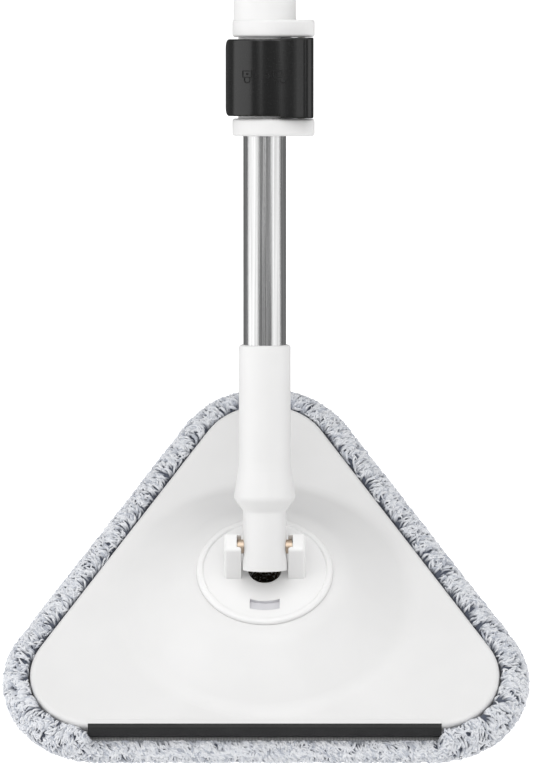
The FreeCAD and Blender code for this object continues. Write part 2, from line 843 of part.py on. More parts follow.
def hub_disc():
    body = turned("hub_blank", [
        ("spigot_bore", "spigot_bottom"), ("spigot_radius", "spigot_bottom"),
        ("spigot_radius", "disc_top - disc_wall"),
        ("disc_radius - skirt_thickness", "disc_top - disc_wall"),
        ("disc_radius - skirt_thickness", "skirt_bottom"), ("disc_radius", "skirt_bottom"),
        ("disc_radius", "lip_bottom"), ("lip_radius", "lip_bottom"),
        ("lip_radius", "lip_height"), ("lip_radius - lip_width", "lip_height"),
        ("lip_radius - lip_width - lip_slope", "disc_top"), ("spigot_bore", "disc_top")])
    outer = cell("lip_radius")
    inner = outer - cell("lip_width")
    height = cell("lip_height")
    round_edges(body, "lip_outer_fillet", "lip_outer_round",
                lambda edge: circle_at(edge, outer, height))
    round_edges(body, "lip_inner_fillet", "lip_inner_round",
                lambda edge: circle_at(edge, inner, height))
    slot = new_sketch(body, "disc_slot", "XY_Plane", "disc_top - slot_depth")
    add_slot(slot)
    pocket(body, slot, "slot_depth + overcut", reverse=True)
    ear = new_sketch(body, "ear_plan", "XY_Plane", "disc_top - overcut")
    add_polygon(ear, [("ear_inner", "-ear_half_depth"), ("ear_outer", "-ear_half_depth"),
                      ("ear_outer", "ear_half_depth"), ("ear_inner", "ear_half_depth")])
    ear_pad = pad(body, ear, "ear_top - disc_top + overcut")
    doc.recompute()
    mirror(body, "ear_mirror", [ear_pad])
    round_edges(body, "ear_fillet", "ear_round", is_ear_edge)
    recess_sections(body)
    pin_hole = new_sketch(body, "ear_pin_hole", "YZ_Plane")
    add_circle(pin_hole, "0", "hinge_height", "pin_radius")
    pocket(body, pin_hole, "4 * ear_outer", symmetric=True)
    doc.recompute()
    pilots = screw_set("ring_pilots", "ring_screw_radius", "ring_screw_depth", "spigot_bottom",
                       ring_screw_places())
    hub = doc.addObject("Part::Cut", "hub_disc")
    hub.Base = body
    hub.Tool = pilots
    return hub


def is_ear_edge(edge):
    """The outer upright edges of the ears and the rim of their tops."""
    box = edge.BoundBox
    near = min(abs(box.XMin), abs(box.XMax))
    far = max(abs(box.XMin), abs(box.XMax))
    top = cell("ear_top")
    on_ear = near > cell("ear_inner") - NEAR and far < cell("ear_outer") + NEAR
    on_outer_face = abs(far - cell("ear_outer")) < NEAR
    upright = box.ZMax > top - NEAR and box.ZLength > cell("ear_half_depth")
    return on_ear and (edge_in_plane(edge, top) or (upright and on_outer_face))


def recess_sections(body):
    """Washer recesses in the ears' inner faces, open at the top."""
    for side, sign in (("right", ""), ("left", "-")):
        sketch = new_sketch(body, "recess_" + side, "XY_Plane", "recess_bottom")
        near = sign + "(ear_inner - overcut)"
        far = sign + "recess_floor"
        corners = [(near, "-recess_half_depth"), (far, "-recess_half_depth"),
                   (far, "recess_half_depth"), (near, "recess_half_depth")]
        add_polygon(sketch, corners)
        pocket(body, sketch, "ear_top - recess_bottom + overcut", reverse=True)


def add_slot(sketch):
    """A slot between two arcs about the disc's axis, with straight ends."""
    half = cell("slot_half_width")
    arcs = []
    for alias in ("slot_inner_radius", "slot_outer_radius"):
        radius = cell(alias)
        swing = math.asin(half / radius)
        arc = add_arc(sketch, (0, 0), radius, 1.5 * math.pi - swing, 1.5 * math.pi + swing)
        pin_point(sketch, arc, 3, "0", "0")
        index = sketch.addConstraint(Sketcher.Constraint("Radius", arc, radius))
        name_constraint(sketch, index, alias)
        arcs.append(arc)
    for position, sign in ((1, "-"), (2, "")):
        ends = [sketch.getPoint(arc, position) for arc in arcs]
        line = sketch.addGeometry(Part.LineSegment(ends[0], ends[1]), False)
        for arc, line_end in zip(arcs, (1, 2)):
            sketch.addConstraint(Sketcher.Constraint("Coincident", arc, position, line, line_end))
            pin_coordinate(sketch, "DistanceX", -2, line, line_end, sign + "slot_half_width")


def ring_screw_places():
    return [("ring_screw_circle", angle) for angle in CORNER_ANGLES]


def hinge_pin():
    pin = cylinder("pin_blank", "pin_radius", "2 * pin_half_length", "-pin_half_length")
    doc.recompute()
    rounded = doc.addObject("Part::Chamfer", "hinge_pin")
    rounded.Base = pin
    ends = [i for i, edge in enumerate(pin.Shape.Edges, start=1)
            if edge.Curve.TypeId == "Part::GeomCircle"]
    chamfer = cell("pin_chamfer")
    rounded.Edges = [(i, chamfer, chamfer) for i in ends]
    rounded.Placement = FreeCAD.Placement(
        FreeCAD.Vector(0, 0, cell("hinge_height")),
        FreeCAD.Rotation(FreeCAD.Vector(0, 1, 0), 90))
    bind(rounded, "Placement.Base.z", "hinge_height")
    return rounded


def hinge_washers():
    washers = []
    for side, sign in (("right", 1), ("left", -1)):
        outside = cylinder("washer_outside_" + side, "washer_radius",
                           "washer_outer_face - washer_inner_face", "washer_inner_face")
        inside = cylinder("washer_inside_" + side, "pin_radius",
                          "washer_outer_face - washer_inner_face", "washer_inner_face")
        ring = doc.addObject("Part::Cut", "washer_" + side)
        ring.Base = outside
        ring.Tool = inside
        ring.Placement = FreeCAD.Placement(
            FreeCAD.Vector(0, 0, cell("hinge_height")),
            FreeCAD.Rotation(FreeCAD.Vector(0, 1, 0), 90 * sign))
        bind(ring, "Placement.Base.z", "hinge_height")
        washers.append(ring)
    group = doc.addObject("Part::Compound", "hinge_washers")
    group.Links = washers
    return group


def retaining_ring():
    bottom = "spigot_bottom - ring_thickness"
    blank = turned("ring_blank", [
        ("spigot_bore", bottom), ("ring_radius", bottom),
        ("ring_radius", "spigot_bottom"), ("spigot_bore", "spigot_bottom")])
    holes = screw_set("ring_holes", "ring_screw_radius", "ring_thickness", bottom,
                      ring_screw_places())
    ring = doc.addObject("Part::Cut", "retaining_ring")
    ring.Base = blank
    ring.Tool = holes
    return ring


def ring_screws():
    head_bottom = "spigot_bottom - ring_thickness - ring_screw_head_height"
    shank_bottom = "spigot_bottom - ring_thickness"
    pieces = []
    for index, (distance, angle) in enumerate(ring_screw_places()):
        head = cylinder("ring_screw_head_%d" % index, "ring_screw_head_radius",
                        "ring_screw_head_height", head_bottom)
        shank = cylinder("ring_screw_shank_%d" % index, "ring_screw_radius",
                         "ring_screw_depth + ring_thickness - ring_screw_tip_gap", shank_bottom)
        screw = doc.addObject("Part::Fuse", "ring_screw_%d" % index)
        screw.Base = head
        screw.Tool = shank
        across, along = polar(distance, angle)
        bind(screw, "Placement.Base.x", across)
        bind(screw, "Placement.Base.y", along)
        pieces.append(screw)
    group = doc.addObject("Part::Compound", "ring_screws")
    group.Links = pieces
    return group


# ---------- sliding tube and neck ----------

def neck_socket():
    body = turned("neck_socket", [
        ("0", "neck_hollow_top"), ("neck_hollow_radius", "neck_hollow_top"),
        ("neck_hollow_radius", "neck_end"), ("neck_end_radius", "neck_end"),
        ("neck_radius", "bulge_start"), ("bulge_radius", "bulge_station"),
        ("sleeve_radius", "sleeve_start"), ("sleeve_radius", "sleeve_end"),
        ("tube_radius", "sleeve_end"), ("tube_radius", "tube_start"),
        ("neck_well_radius", "tube_start"), ("neck_well_radius", "neck_well_bottom"),
        ("0", "neck_well_bottom")])
    bulge = (cell("bulge_radius"), cell("bulge_station"))
    round_edges(body, "bulge_fillet", "bulge_round",
                lambda edge: circle_at(edge, bulge[0], bulge[1]))
    root = (cell("neck_radius"), cell("bulge_start"))
    round_edges(body, "bulge_root_fillet", "bulge_root_round",
                lambda edge: circle_at(edge, root[0], root[1]))
    shoulder = (cell("sleeve_radius"), cell("sleeve_start"))
    round_edges(body, "shoulder_fillet", "shoulder_round",
                lambda edge: circle_at(edge, shoulder[0], shoulder[1]))
    mouth = (cell("sleeve_radius"), cell("sleeve_end"))
    round_edges(body, "mouth_fillet", "mouth_round",
                lambda edge: circle_at(edge, mouth[0], mouth[1]))
    boss = new_sketch(body, "pin_boss", "YZ_Plane")
    add_circle(boss, "0", "0", "neck_pin_boss")
    pad(body, boss, "2 * neck_hollow_radius + overcut", symmetric=True)
    bore = new_sketch(body, "pin_bore", "YZ_Plane")
    add_circle(bore, "0", "0", "neck_pin_bore")
    pocket(body, bore, "4 * neck_radius", symmetric=True)
    for side, sign, back in (("right", "", True), ("left", "-", False)):
        spot = new_sketch(body, "spot_face_" + side, "YZ_Plane", sign + "neck_spot_face")
        add_circle(spot, "0", "0", "neck_spot_radius")
        pocket(body, spot, "neck_radius", reverse=back)
    screw_seat(body, "neck_screw_station", "neck_screw_seat", "sleeve_radius")
    return place_on_handle(body)


def screw_seat(body, station, seat, radius):
    """A clearance hole and a spot face at the back of a round sleeve."""
    hole = new_sketch(body, "side_hole", "XZ_Plane")
    add_circle(hole, "0", station, "side_screw_radius")
    pocket(body, hole, "2 * " + radius)
    spot = new_sketch(body, "side_spot_face", "XZ_Plane", "-" + seat)
    add_circle(spot, "0", station, "side_screw_head_radius + side_screw_head_gap")
    pocket(body, spot, radius)


def side_screw(name, station, seat, tip):
    """A screw at the back of the handle, its head on a spot face, its tip pointing at the axis."""
    shank = cylinder(name + "_shank", "side_screw_radius", "%s - %s" % (seat, tip), tip)
    head = cylinder(name + "_head", "side_screw_head_radius", "side_screw_head_height", seat)
    outward = doc.addObject("Part::Fuse", name + "_upright")
    outward.Base = shank
    outward.Tool = head
    outward.Placement.Rotation = FreeCAD.Rotation(FreeCAD.Vector(1, 0, 0), -90)
    bind(outward, "Placement.Base.z", station)
    screw = doc.addObject("Part::Compound", name)
    screw.Links = [outward]
    return place_on_handle(screw)


def round_tube(name, radius, bore, start, end, hole_station):
    """A straight tube with one screw hole in its back wall."""
    body = new_body(name)
    section = new_sketch(body, name + "_section", "XY_Plane", start)
    add_circle(section, "0", "0", radius)
    add_circle(section, "0", "0", bore)
    pad(body, section, "(%s) - (%s)" % (end, start))
    hole = new_sketch(body, name + "_hole", "XZ_Plane")
    add_circle(hole, "0", hole_station, "side_screw_radius")
    pocket(body, hole, "2 * " + radius)
    return place_on_handle(body)


def tube_end_guide():
    plug_start = "tube_end - guide_plug_length"
    cap_end = "tube_end + guide_cap_length"
    body = turned("tube_end_guide", [
        ("guide_bore", plug_start), ("tube_bore", plug_start), ("tube_bore", "tube_end"),
        ("guide_radius", "tube_end"), ("guide_radius", cap_end), ("guide_bore", cap_end)])
    return place_on_handle(body)


# ---------- clamp ----------

def add_flange(body, name, start, end):
    sketch = new_sketch(body, name, "XY_Plane", start)
    add_belt(sketch, "flange_radius", "pivot_across", "-pivot_forward", "lobe_radius")
    pad(body, sketch, "(%s) - (%s)" % (end, start))


def add_post(body, name, radius, start, end):
    sketch = new_sketch(body, name, "XY_Plane", start)
    add_circle(sketch, "0", "0", radius)
    pad(body, sketch, "(%s) - (%s)" % (end, start))


def cut_bore(body, name, across, along, radius, start, end):
    sketch = new_sketch(body, name, "XY_Plane", start)
    add_circle(sketch, across, along, radius)
    pocket(body, sketch, "(%s) - (%s)" % (end, start), reverse=True)


def clamp_body():
    body = new_body("clamp_body")
    add_flange(body, "lower_flange", "clamp_start", "lower_flange_end")
    add_post(body, "collar", "collar_radius", "clamp_start + overcut", "upper_flange_end")
    add_flange(body, "upper_flange", "upper_flange_start", "upper_flange_end")
    flange_planes = [cell(alias) for alias in
                     ("clamp_start", "lower_flange_end", "upper_flange_start", "upper_flange_end")]
    collar = cell("collar_radius")
    round_edges(body, "flange_fillet", "flange_round",
                lambda edge: any(edge_in_plane(edge, height) for height in flange_planes)
                and not any(circle_at(edge, collar, height) for height in flange_planes))
    add_post(body, "clamp_neck", "clamp_neck_radius", "upper_flange_end - 2 * overcut",
             "clamp_neck_end")
    neck_top = (cell("clamp_neck_radius"), cell("clamp_neck_end"))
    round_edges(body, "clamp_neck_fillet", "flange_round",
                lambda edge: circle_at(edge, neck_top[0], neck_top[1]))
    cut_bore(body, "collar_bore_cut", "0", "0", "collar_bore", "clamp_start - overcut",
             "clamp_neck_end + overcut")
    cut_bore(body, "bush_seat", "0", "0", "bush_radius", "clamp_start - overcut", "bush_end")
    cut_bore(body, "outer_tube_seat", "0", "0", "outer_tube_radius", "outer_tube_start",
             "clamp_neck_end + overcut")
    cut_bore(body, "barrel_recess_cut", "pivot_across", "-pivot_forward", "barrel_recess",
             "lower_flange_end", "upper_flange_start")
    cut_bore(body, "lever_pin_hole", "pivot_across", "-pivot_forward", "lever_pin_radius",
             "clamp_start - overcut", "upper_flange_end + overcut")
    window = new_sketch(body, "shoe_window", "XY_Plane", "shoe_start - window_margin")
    add_shoe_outline(window, "shoe_bore - overcut", "shoe_radius + 2 * overcut",
                     "shoe_half_angle + window_angle_margin")
    pocket(body, window, "shoe_end - shoe_start + 2 * window_margin", reverse=True)
    screw_seat(body, "clamp_screw_station", "clamp_screw_seat", "clamp_neck_radius")
    return place_on_handle(body)


def add_shoe_outline(sketch, inner, outer, half_angle):
    """A ring sector about the tube's axis that faces the lever's pivot."""
    heading = -math.atan2(cell("pivot_forward"), cell("pivot_across"))
    half = math.radians(value(half_angle))
    arcs = []
    for expression in (inner, outer):
        radius = value(expression)
        arc = add_arc(sketch, (0, 0), radius, heading - half, heading + half)
        pin_point(sketch, arc, 3, "0", "0")
        index = sketch.addConstraint(Sketcher.Constraint("Radius", arc, radius))
        name_constraint(sketch, index, expression)
        arcs.append(arc)
    for position in (1, 2):
        ends = [sketch.getPoint(arc, position) for arc in arcs]
        line = sketch.addGeometry(Part.LineSegment(ends[0], ends[1]), False)
        sketch.addConstraint(Sketcher.Constraint("Coincident", arcs[0], position, line, 1))
        sketch.addConstraint(Sketcher.Constraint("Coincident", arcs[1], position, line, 2))
        sign = "-" if position == 1 else "+"
        angle = "(%s (%s) * 1 deg - atan(pivot_forward / pivot_across))" % (sign, half_angle)
        for line_end, expression in ((1, inner), (2, outer)):
            along = "(%s) * sin%s" % (expression, angle)
            pin_coordinate(sketch, "DistanceY", -1, line, line_end, along)


def clamp_shoe():
    body = new_body("clamp_shoe")
    sketch = new_sketch(body, "shoe_outline", "XY_Plane", "shoe_start")
    add_shoe_outline(sketch, "shoe_bore", "shoe_radius", "shoe_half_angle")
    pad(body, sketch, "shoe_end - shoe_start")
    return place_on_handle(body)


def lower_guide_bush():
    body = turned("lower_guide_bush", [
        ("bush_bore", "bush_start"), ("bush_radius", "bush_start"),
        ("bush_radius", "bush_end"), ("bush_bore", "bush_end")])
    return place_on_handle(body)


def lever_pin():
    pin = cylinder("lever_pin", "lever_pin_radius", "lever_pin_end - lever_pin_start",
                   "lever_pin_start")
    bind(pin, "Placement.Base.x", "pivot_across")
    bind(pin, "Placement.Base.y", "-pivot_forward")
    group = doc.addObject("Part::Compound", "lever_pin_placed")
    group.Links = [pin]
    return place_on_handle(group)


def clamp_lever():
    body = new_body("clamp_lever")
    shell = new_sketch(body, "lever_shell", "XY_Plane", "lever_start")
    add_lever_outline(shell)
    pad(body, shell, "lever_end - lever_start")
    doc.recompute()
    round_edges(body, "lever_tip_fillet", "lever_corner_round", is_lever_tip_edge)
    web = new_sketch(body, "lever_web", "XY_Plane", "lever_start")
    add_polygon(web, lever_web_corners())
    pad(body, web, "lever_end - lever_start")
    cut_bore(body, "web_hollow", *valley_point("0"), "lever_valley_radius",
             "barrel_start - overcut", "barrel_end + overcut")
    round_edges(body, "lever_edge_fillet", "lever_edge_round",
                lambda edge: is_rim(edge, "lever", "lever_outer_radius", "lever_valley_radius"))
    ridge = new_sketch(body, "lever_ridge", "XY_Plane", "barrel_start")
    add_polygon(ridge, lever_ridge_corners())
    pad(body, ridge, "barrel_end - barrel_start")
    cut_bore(body, "ridge_hollow", *valley_point("0"), "lever_valley_radius",
             "barrel_start - overcut", "barrel_end + overcut")
    round_edges(body, "lever_ridge_fillet", "lever_ridge_round", is_lever_ridge_edge)
    round_edges(body, "ridge_edge_fillet", "lever_edge_round",
                lambda edge: is_rim(edge, "barrel", "lever_ridge_round"))
    barrel = new_sketch(body, "lever_barrel", "XY_Plane", "barrel_start")
    add_circle(barrel, "pivot_across", "-pivot_forward", "barrel_radius")
    pad(body, barrel, "barrel_end - barrel_start")
    cam = new_sketch(body, "lever_cam", "XY_Plane", "shoe_start")
    reach = "sqrt(pivot_across * pivot_across + pivot_forward * pivot_forward)"
    add_circle(cam, "pivot_across * (1 - cam_throw / %s)" % reach,
               "-pivot_forward * (1 - cam_throw / %s)" % reach, "cam_radius")
    pad(body, cam, "shoe_end - shoe_start")
    cut_bore(body, "barrel_bore_cut", "pivot_across", "-pivot_forward", "barrel_bore",
             "barrel_start - overcut", "barrel_end + overcut")
    return place_on_handle(body)


def valley_point(reach, angle="0 deg"):
    """A point at the given reach and angle from the centre of the hollow beside the lever's ridge."""
    centre_reach = "(lever_outer_radius + lever_valley_radius)"
    return ("%s * sin(lever_valley_angle * 1 deg) - lever_outer_shift + %s * sin(%s)"
            % (centre_reach, reach, angle),
            "%s * cos(%s) - %s * cos(lever_valley_angle * 1 deg)" % (reach, angle, centre_reach))


def lever_web_corners():
    """The fill between the shell's outer face and the barrel, up to the bottom of the hollow."""
    middle = "(lever_inner_radius + lever_outer_radius) / 2"
    return [("lever_outer_radius * sin(lever_valley_angle * 1 deg) - lever_outer_shift",
             "-lever_outer_radius * cos(lever_valley_angle * 1 deg)"),
            valley_point("lever_valley_radius"),
            ("pivot_across", "-pivot_forward"),
            ("%s * cos(lever_root_angle * 1 deg) - lever_outer_shift" % middle,
             "-%s * sin(lever_root_angle * 1 deg)" % middle)]


def lever_ridge_corners():
    """The ridge over the barrel: it climbs out of the hollow to the lever's outer side."""
    foot = valley_point("lever_valley_radius", "lever_ridge_slope * 1 deg")
    side = "pivot_across + barrel_radius"
    climb = "tan(lever_ridge_slope * 1 deg) * (%s - (%s))" % (side, foot[0])
    return [valley_point("lever_valley_radius"), foot, (side, "%s - %s" % (foot[1], climb)),
            (side, "-pivot_forward"), ("pivot_across", "-pivot_forward")]


def is_lever_ridge_edge(edge):
    """The upright edge at the ridge's outer corner."""
    box = edge.BoundBox
    side = cell("pivot_across") + cell("barrel_radius")
    upright = box.ZLength > cell("lever_end") - cell("lever_start")
    return upright and abs(box.XMin - side) < NEAR and box.YMax < -cell("lever_inner_radius")


def is_rim(edge, part, *radii):
    """A round edge of one of these radii in an end plane of the lever or its barrel."""
    ends = (cell(part + "_start"), cell(part + "_end"))
    if not any(edge_in_plane(edge, end) for end in ends):
        return False
    curve = edge.Curve
    if curve.TypeId == "Part::GeomCircle":
        return any(abs(curve.Radius - cell(radius)) < NEAR for radius in radii)
    return False


def add_lever_outline(sketch):
    """The lever's wrap-round shell: two offset arcs, thicker towards the finger end."""
    root = -math.radians(cell("lever_root_angle"))
    tip = -math.radians(cell("lever_tip_angle"))
    arcs = []
    for radius_alias, shift_alias in (("lever_inner_radius", "lever_inner_shift"),
                                      ("lever_outer_radius", "lever_outer_shift")):
        radius = cell(radius_alias)
        arc = add_arc(sketch, (-cell(shift_alias), 0), radius, tip, root)
        pin_point(sketch, arc, 3, "-" + shift_alias, "0")
        index = sketch.addConstraint(Sketcher.Constraint("Radius", arc, radius))
        name_constraint(sketch, index, radius_alias)
        for position, alias in ((1, "lever_tip_angle"), (2, "lever_root_angle")):
            along = "-%s * sin(%s * 1 deg)" % (radius_alias, alias)
            pin_coordinate(sketch, "DistanceY", -1, arc, position, along)
        arcs.append(arc)
    for position in (1, 2):
        ends = [sketch.getPoint(arc, position) for arc in arcs]
        line = sketch.addGeometry(Part.LineSegment(ends[0], ends[1]), False)
        sketch.addConstraint(Sketcher.Constraint("Coincident", arcs[0], position, line, 1))
        sketch.addConstraint(Sketcher.Constraint("Coincident", arcs[1], position, line, 2))


def is_lever_tip_edge(edge):
    """The two short edges across the finger end, top and bottom."""
    straight = edge.Curve.TypeId == "Part::GeomLine"
    flat = edge.BoundBox.ZLength < NEAR
    return straight and flat and edge.BoundBox.XMax < 0


# ---------- handle ----------

def hand_grip():
    bead = "grip_bead_length"
    body = turned("hand_grip", [
        ("outer_tube_radius", "grip_start"), ("grip_end_radius", "grip_start"),
        ("grip_end_radius", "grip_start + " + bead),
        ("grip_radius", "grip_start + grip_bead_slope + " + bead),
        ("grip_radius", "grip_end - grip_bead_slope - " + bead),
        ("grip_end_radius", "grip_end - " + bead),
        ("grip_end_radius", "grip_end"), ("outer_tube_radius", "grip_end")])
    ring = new_sketch(body, "grip_groove", "XZ_Plane")
    low = "grip_start + grip_groove_inset"
    high = low + " + grip_groove_width"
    depth = "grip_radius - grip_groove_depth"
    outside = "grip_radius + overcut"
    add_polygon(ring, [(depth, low), (outside, low), (outside, high), (depth, high)])
    cut = groove(body, ring)
    rows = body.newObject("PartDesign::LinearPattern", "grip_grooves")
    rows.Originals = [cut]
    rows.Direction = (ring, ["V_Axis"])
    rows.Occurrences = int(cell("grip_groove_count"))
    bind(rows, "Length", "grip_groove_pitch * (grip_groove_count - 1)")
    body.Tip = rows
    return place_on_handle(body)


def end_cap():
    body = turned("end_cap", [
        ("0", "cap_end"), ("0", "outer_tube_end"), ("cap_plug_bore", "outer_tube_end"),
        ("cap_plug_bore", "cap_plug_start"), ("outer_tube_bore", "cap_plug_start"),
        ("outer_tube_bore", "outer_tube_end"), ("cap_radius", "outer_tube_end"),
        ("cap_radius", "cap_end")])
    rim = (cell("cap_radius"), cell("cap_end"))
    round_edges(body, "cap_fillet", "cap_round",
                lambda edge: circle_at(edge, rim[0], rim[1]))
    stem = new_sketch(body, "loop_stem", "XZ_Plane")
    half = "loop_stem_half_width"
    root = "cap_end - loop_root_depth"
    add_polygon(stem, [("-" + half, root), (half, root), (half, "loop_station"),
                       ("-" + half, "loop_station")])
    pad(body, stem, "loop_thickness", symmetric=True)
    loop = new_sketch(body, "loop_disc", "XZ_Plane")
    add_circle(loop, "0", "loop_station", "loop_radius")
    pad(body, loop, "loop_thickness", symmetric=True)
    hole = new_sketch(body, "loop_hole", "XZ_Plane")
    add_circle(hole, "0", "loop_station", "loop_hole_radius")
    pocket(body, hole, "4 * loop_thickness", symmetric=True)
    return place_on_handle(body)


# ---------- document ----------

def build():
    """Every sub-part, by node name."""
    fill_sheet()
    nodes = {
        "mop_plate": mop_plate(),
        "base_board": base_board(),
        "plate_screws": plate_screw_group("plate_screws"),
        "hook_strips": hook_strips(),
        "squeegee_blade": squeegee_blade(),
        "pad_backing": pad_backing(),
        "pad_binding": pad_binding(),
        "pad_pile": pad_pile(),
        "thrust_washer": thrust_washer(),
        "hub_disc": hub_disc(),
        "hinge_pin": hinge_pin(),
        "hinge_washers": hinge_washers(),
        "retaining_ring": retaining_ring(),
        "ring_screws": ring_screws(),
        "neck_socket": neck_socket(),
        "inner_tube": round_tube("inner_tube", "tube_radius", "tube_bore", "tube_start", "tube_end",
                                 "neck_screw_station"),
        "neck_screw": side_screw("neck_screw", "neck_screw_station", "neck_screw_seat",
                                 "neck_screw_tip"),
        "tube_end_guide": tube_end_guide(),
        "clamp_body": clamp_body(),
        "lower_guide_bush": lower_guide_bush(),
        "clamp_shoe": clamp_shoe(),
        "lever_pin": lever_pin(),
        "clamp_lever": clamp_lever(),
        "outer_tube": round_tube("outer_tube", "outer_tube_radius", "outer_tube_bore",
                                 "outer_tube_start", "outer_tube_end", "clamp_screw_station"),
        "tube_screw": side_screw("tube_screw", "clamp_screw_station", "clamp_screw_seat",
                                 "clamp_screw_tip"),
        "hand_grip": hand_grip(),
        "end_cap": end_cap(),
    }
    doc.recompute()
    for name, thing in nodes.items():
        thing.Label = name
    return nodes


def check(nodes):
    for thing in doc.Objects:
        if "Invalid" in thing.State or "Error" in thing.State:
            raise RuntimeError("%s is %s" % (thing.Name, thing.State))
    for name, thing in nodes.items():
        shape = thing.Shape
        if shape.isNull() or not shape.isValid() or not shape.Solids:
            raise RuntimeError(name + " has no valid solid")


def write(nodes):
    os.makedirs("parts", exist_ok=True)
    for name, thing in nodes.items():
        thing.Shape.exportStep("parts/%s.step" % name)
        print("%-18s %d solid(s) %12.1f mm3" % (name, len(thing.Shape.Solids), thing.Shape.Volume))


nodes = build()
check(nodes)
write(nodes)
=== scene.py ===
import json
import math

import bpy
import numpy as np
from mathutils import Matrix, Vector


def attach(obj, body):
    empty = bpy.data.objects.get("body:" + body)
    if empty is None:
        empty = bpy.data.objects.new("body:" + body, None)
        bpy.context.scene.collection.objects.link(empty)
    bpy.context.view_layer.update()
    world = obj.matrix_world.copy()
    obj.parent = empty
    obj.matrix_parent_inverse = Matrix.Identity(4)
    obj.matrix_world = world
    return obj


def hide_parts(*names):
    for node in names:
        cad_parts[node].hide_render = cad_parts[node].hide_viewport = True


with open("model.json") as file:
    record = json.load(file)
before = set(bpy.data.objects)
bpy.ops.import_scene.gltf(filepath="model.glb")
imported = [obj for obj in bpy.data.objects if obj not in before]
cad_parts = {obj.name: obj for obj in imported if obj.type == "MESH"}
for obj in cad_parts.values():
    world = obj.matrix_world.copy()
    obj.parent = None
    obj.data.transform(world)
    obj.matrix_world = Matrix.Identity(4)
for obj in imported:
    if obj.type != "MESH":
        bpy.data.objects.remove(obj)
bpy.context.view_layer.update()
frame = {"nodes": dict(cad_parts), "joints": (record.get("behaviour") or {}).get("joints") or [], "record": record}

# A triangular flat mop with a telescopic handle, in metres, in the CAD frame: +Z up, the origin on
# the floor under the head's swivel axis, +Y towards the plate's far corner, the handle over +Y.

MM = 0.001
NODES = frame["nodes"]
JOINTS = {joint["name"]: joint for joint in frame["joints"]}
HINGE = Vector(JOINTS["neck_hinge"]["pos_m"])
ALONG = -Vector(JOINTS["tube_slide"]["axis"]).normalized()
ACROSS = Vector((1, 0, 0))
FRONT = ACROSS.cross(ALONG)      # the side of the handle that faces up and towards -Y
HANDLE_LEAN = math.atan2(ALONG.y, ALONG.z)

RANDOM_SEED = 11
SHARP_ANGLE = 32                 # edges with a larger angle stay crisp, in degrees
BEVEL_SAMPLES = 4
WAVE_PITCH = 0.314               # the pitch in metres of a wave texture at scale 1
NOISE_LOW, NOISE_HIGH = 0.3, 0.7     # most of a noise texture's values lie between these

# Where the painted shade on the hub is full and where it is gone: reach from the swivel axis, and height.
BORE_SHADE_REACH = (8.3 * MM, 9.3 * MM)
BORE_SHADE_TOP = (41.2 * MM, 41.9 * MM)
BORE_SHADE_RAGGED = (-1.2 * MM, 0.9 * MM)
SLOT_REACH = (28.0 * MM, 28.5 * MM)
SLOT_TOP = (41.6 * MM, 41.75 * MM)


# ---------- mesh helpers ----------

def mesh_object(name, points, faces, smooth=True):
    """A new object from a list of points in metres and a list of faces."""
    mesh = bpy.data.meshes.new(name)
    mesh.from_pydata([tuple(p) for p in points], [], faces)
    mesh.validate()
    mesh.update()
    mesh.polygons.foreach_set("use_smooth", [smooth] * len(mesh.polygons))
    thing = bpy.data.objects.new(name, mesh)
    bpy.context.scene.collection.objects.link(thing)
    return thing


def smooth_by_angle(thing, degrees):
    """Smooth shading, with edges sharper than the angle left crisp."""
    mesh = thing.data
    mesh.polygons.foreach_set("use_smooth", [True] * len(mesh.polygons))
    mesh.set_sharp_from_angle(angle=math.radians(degrees))


def finish_piece(thing, body, material):
    thing.data.materials.clear()
    thing.data.materials.append(material)
    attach(thing, body)


# ---------- material helpers ----------

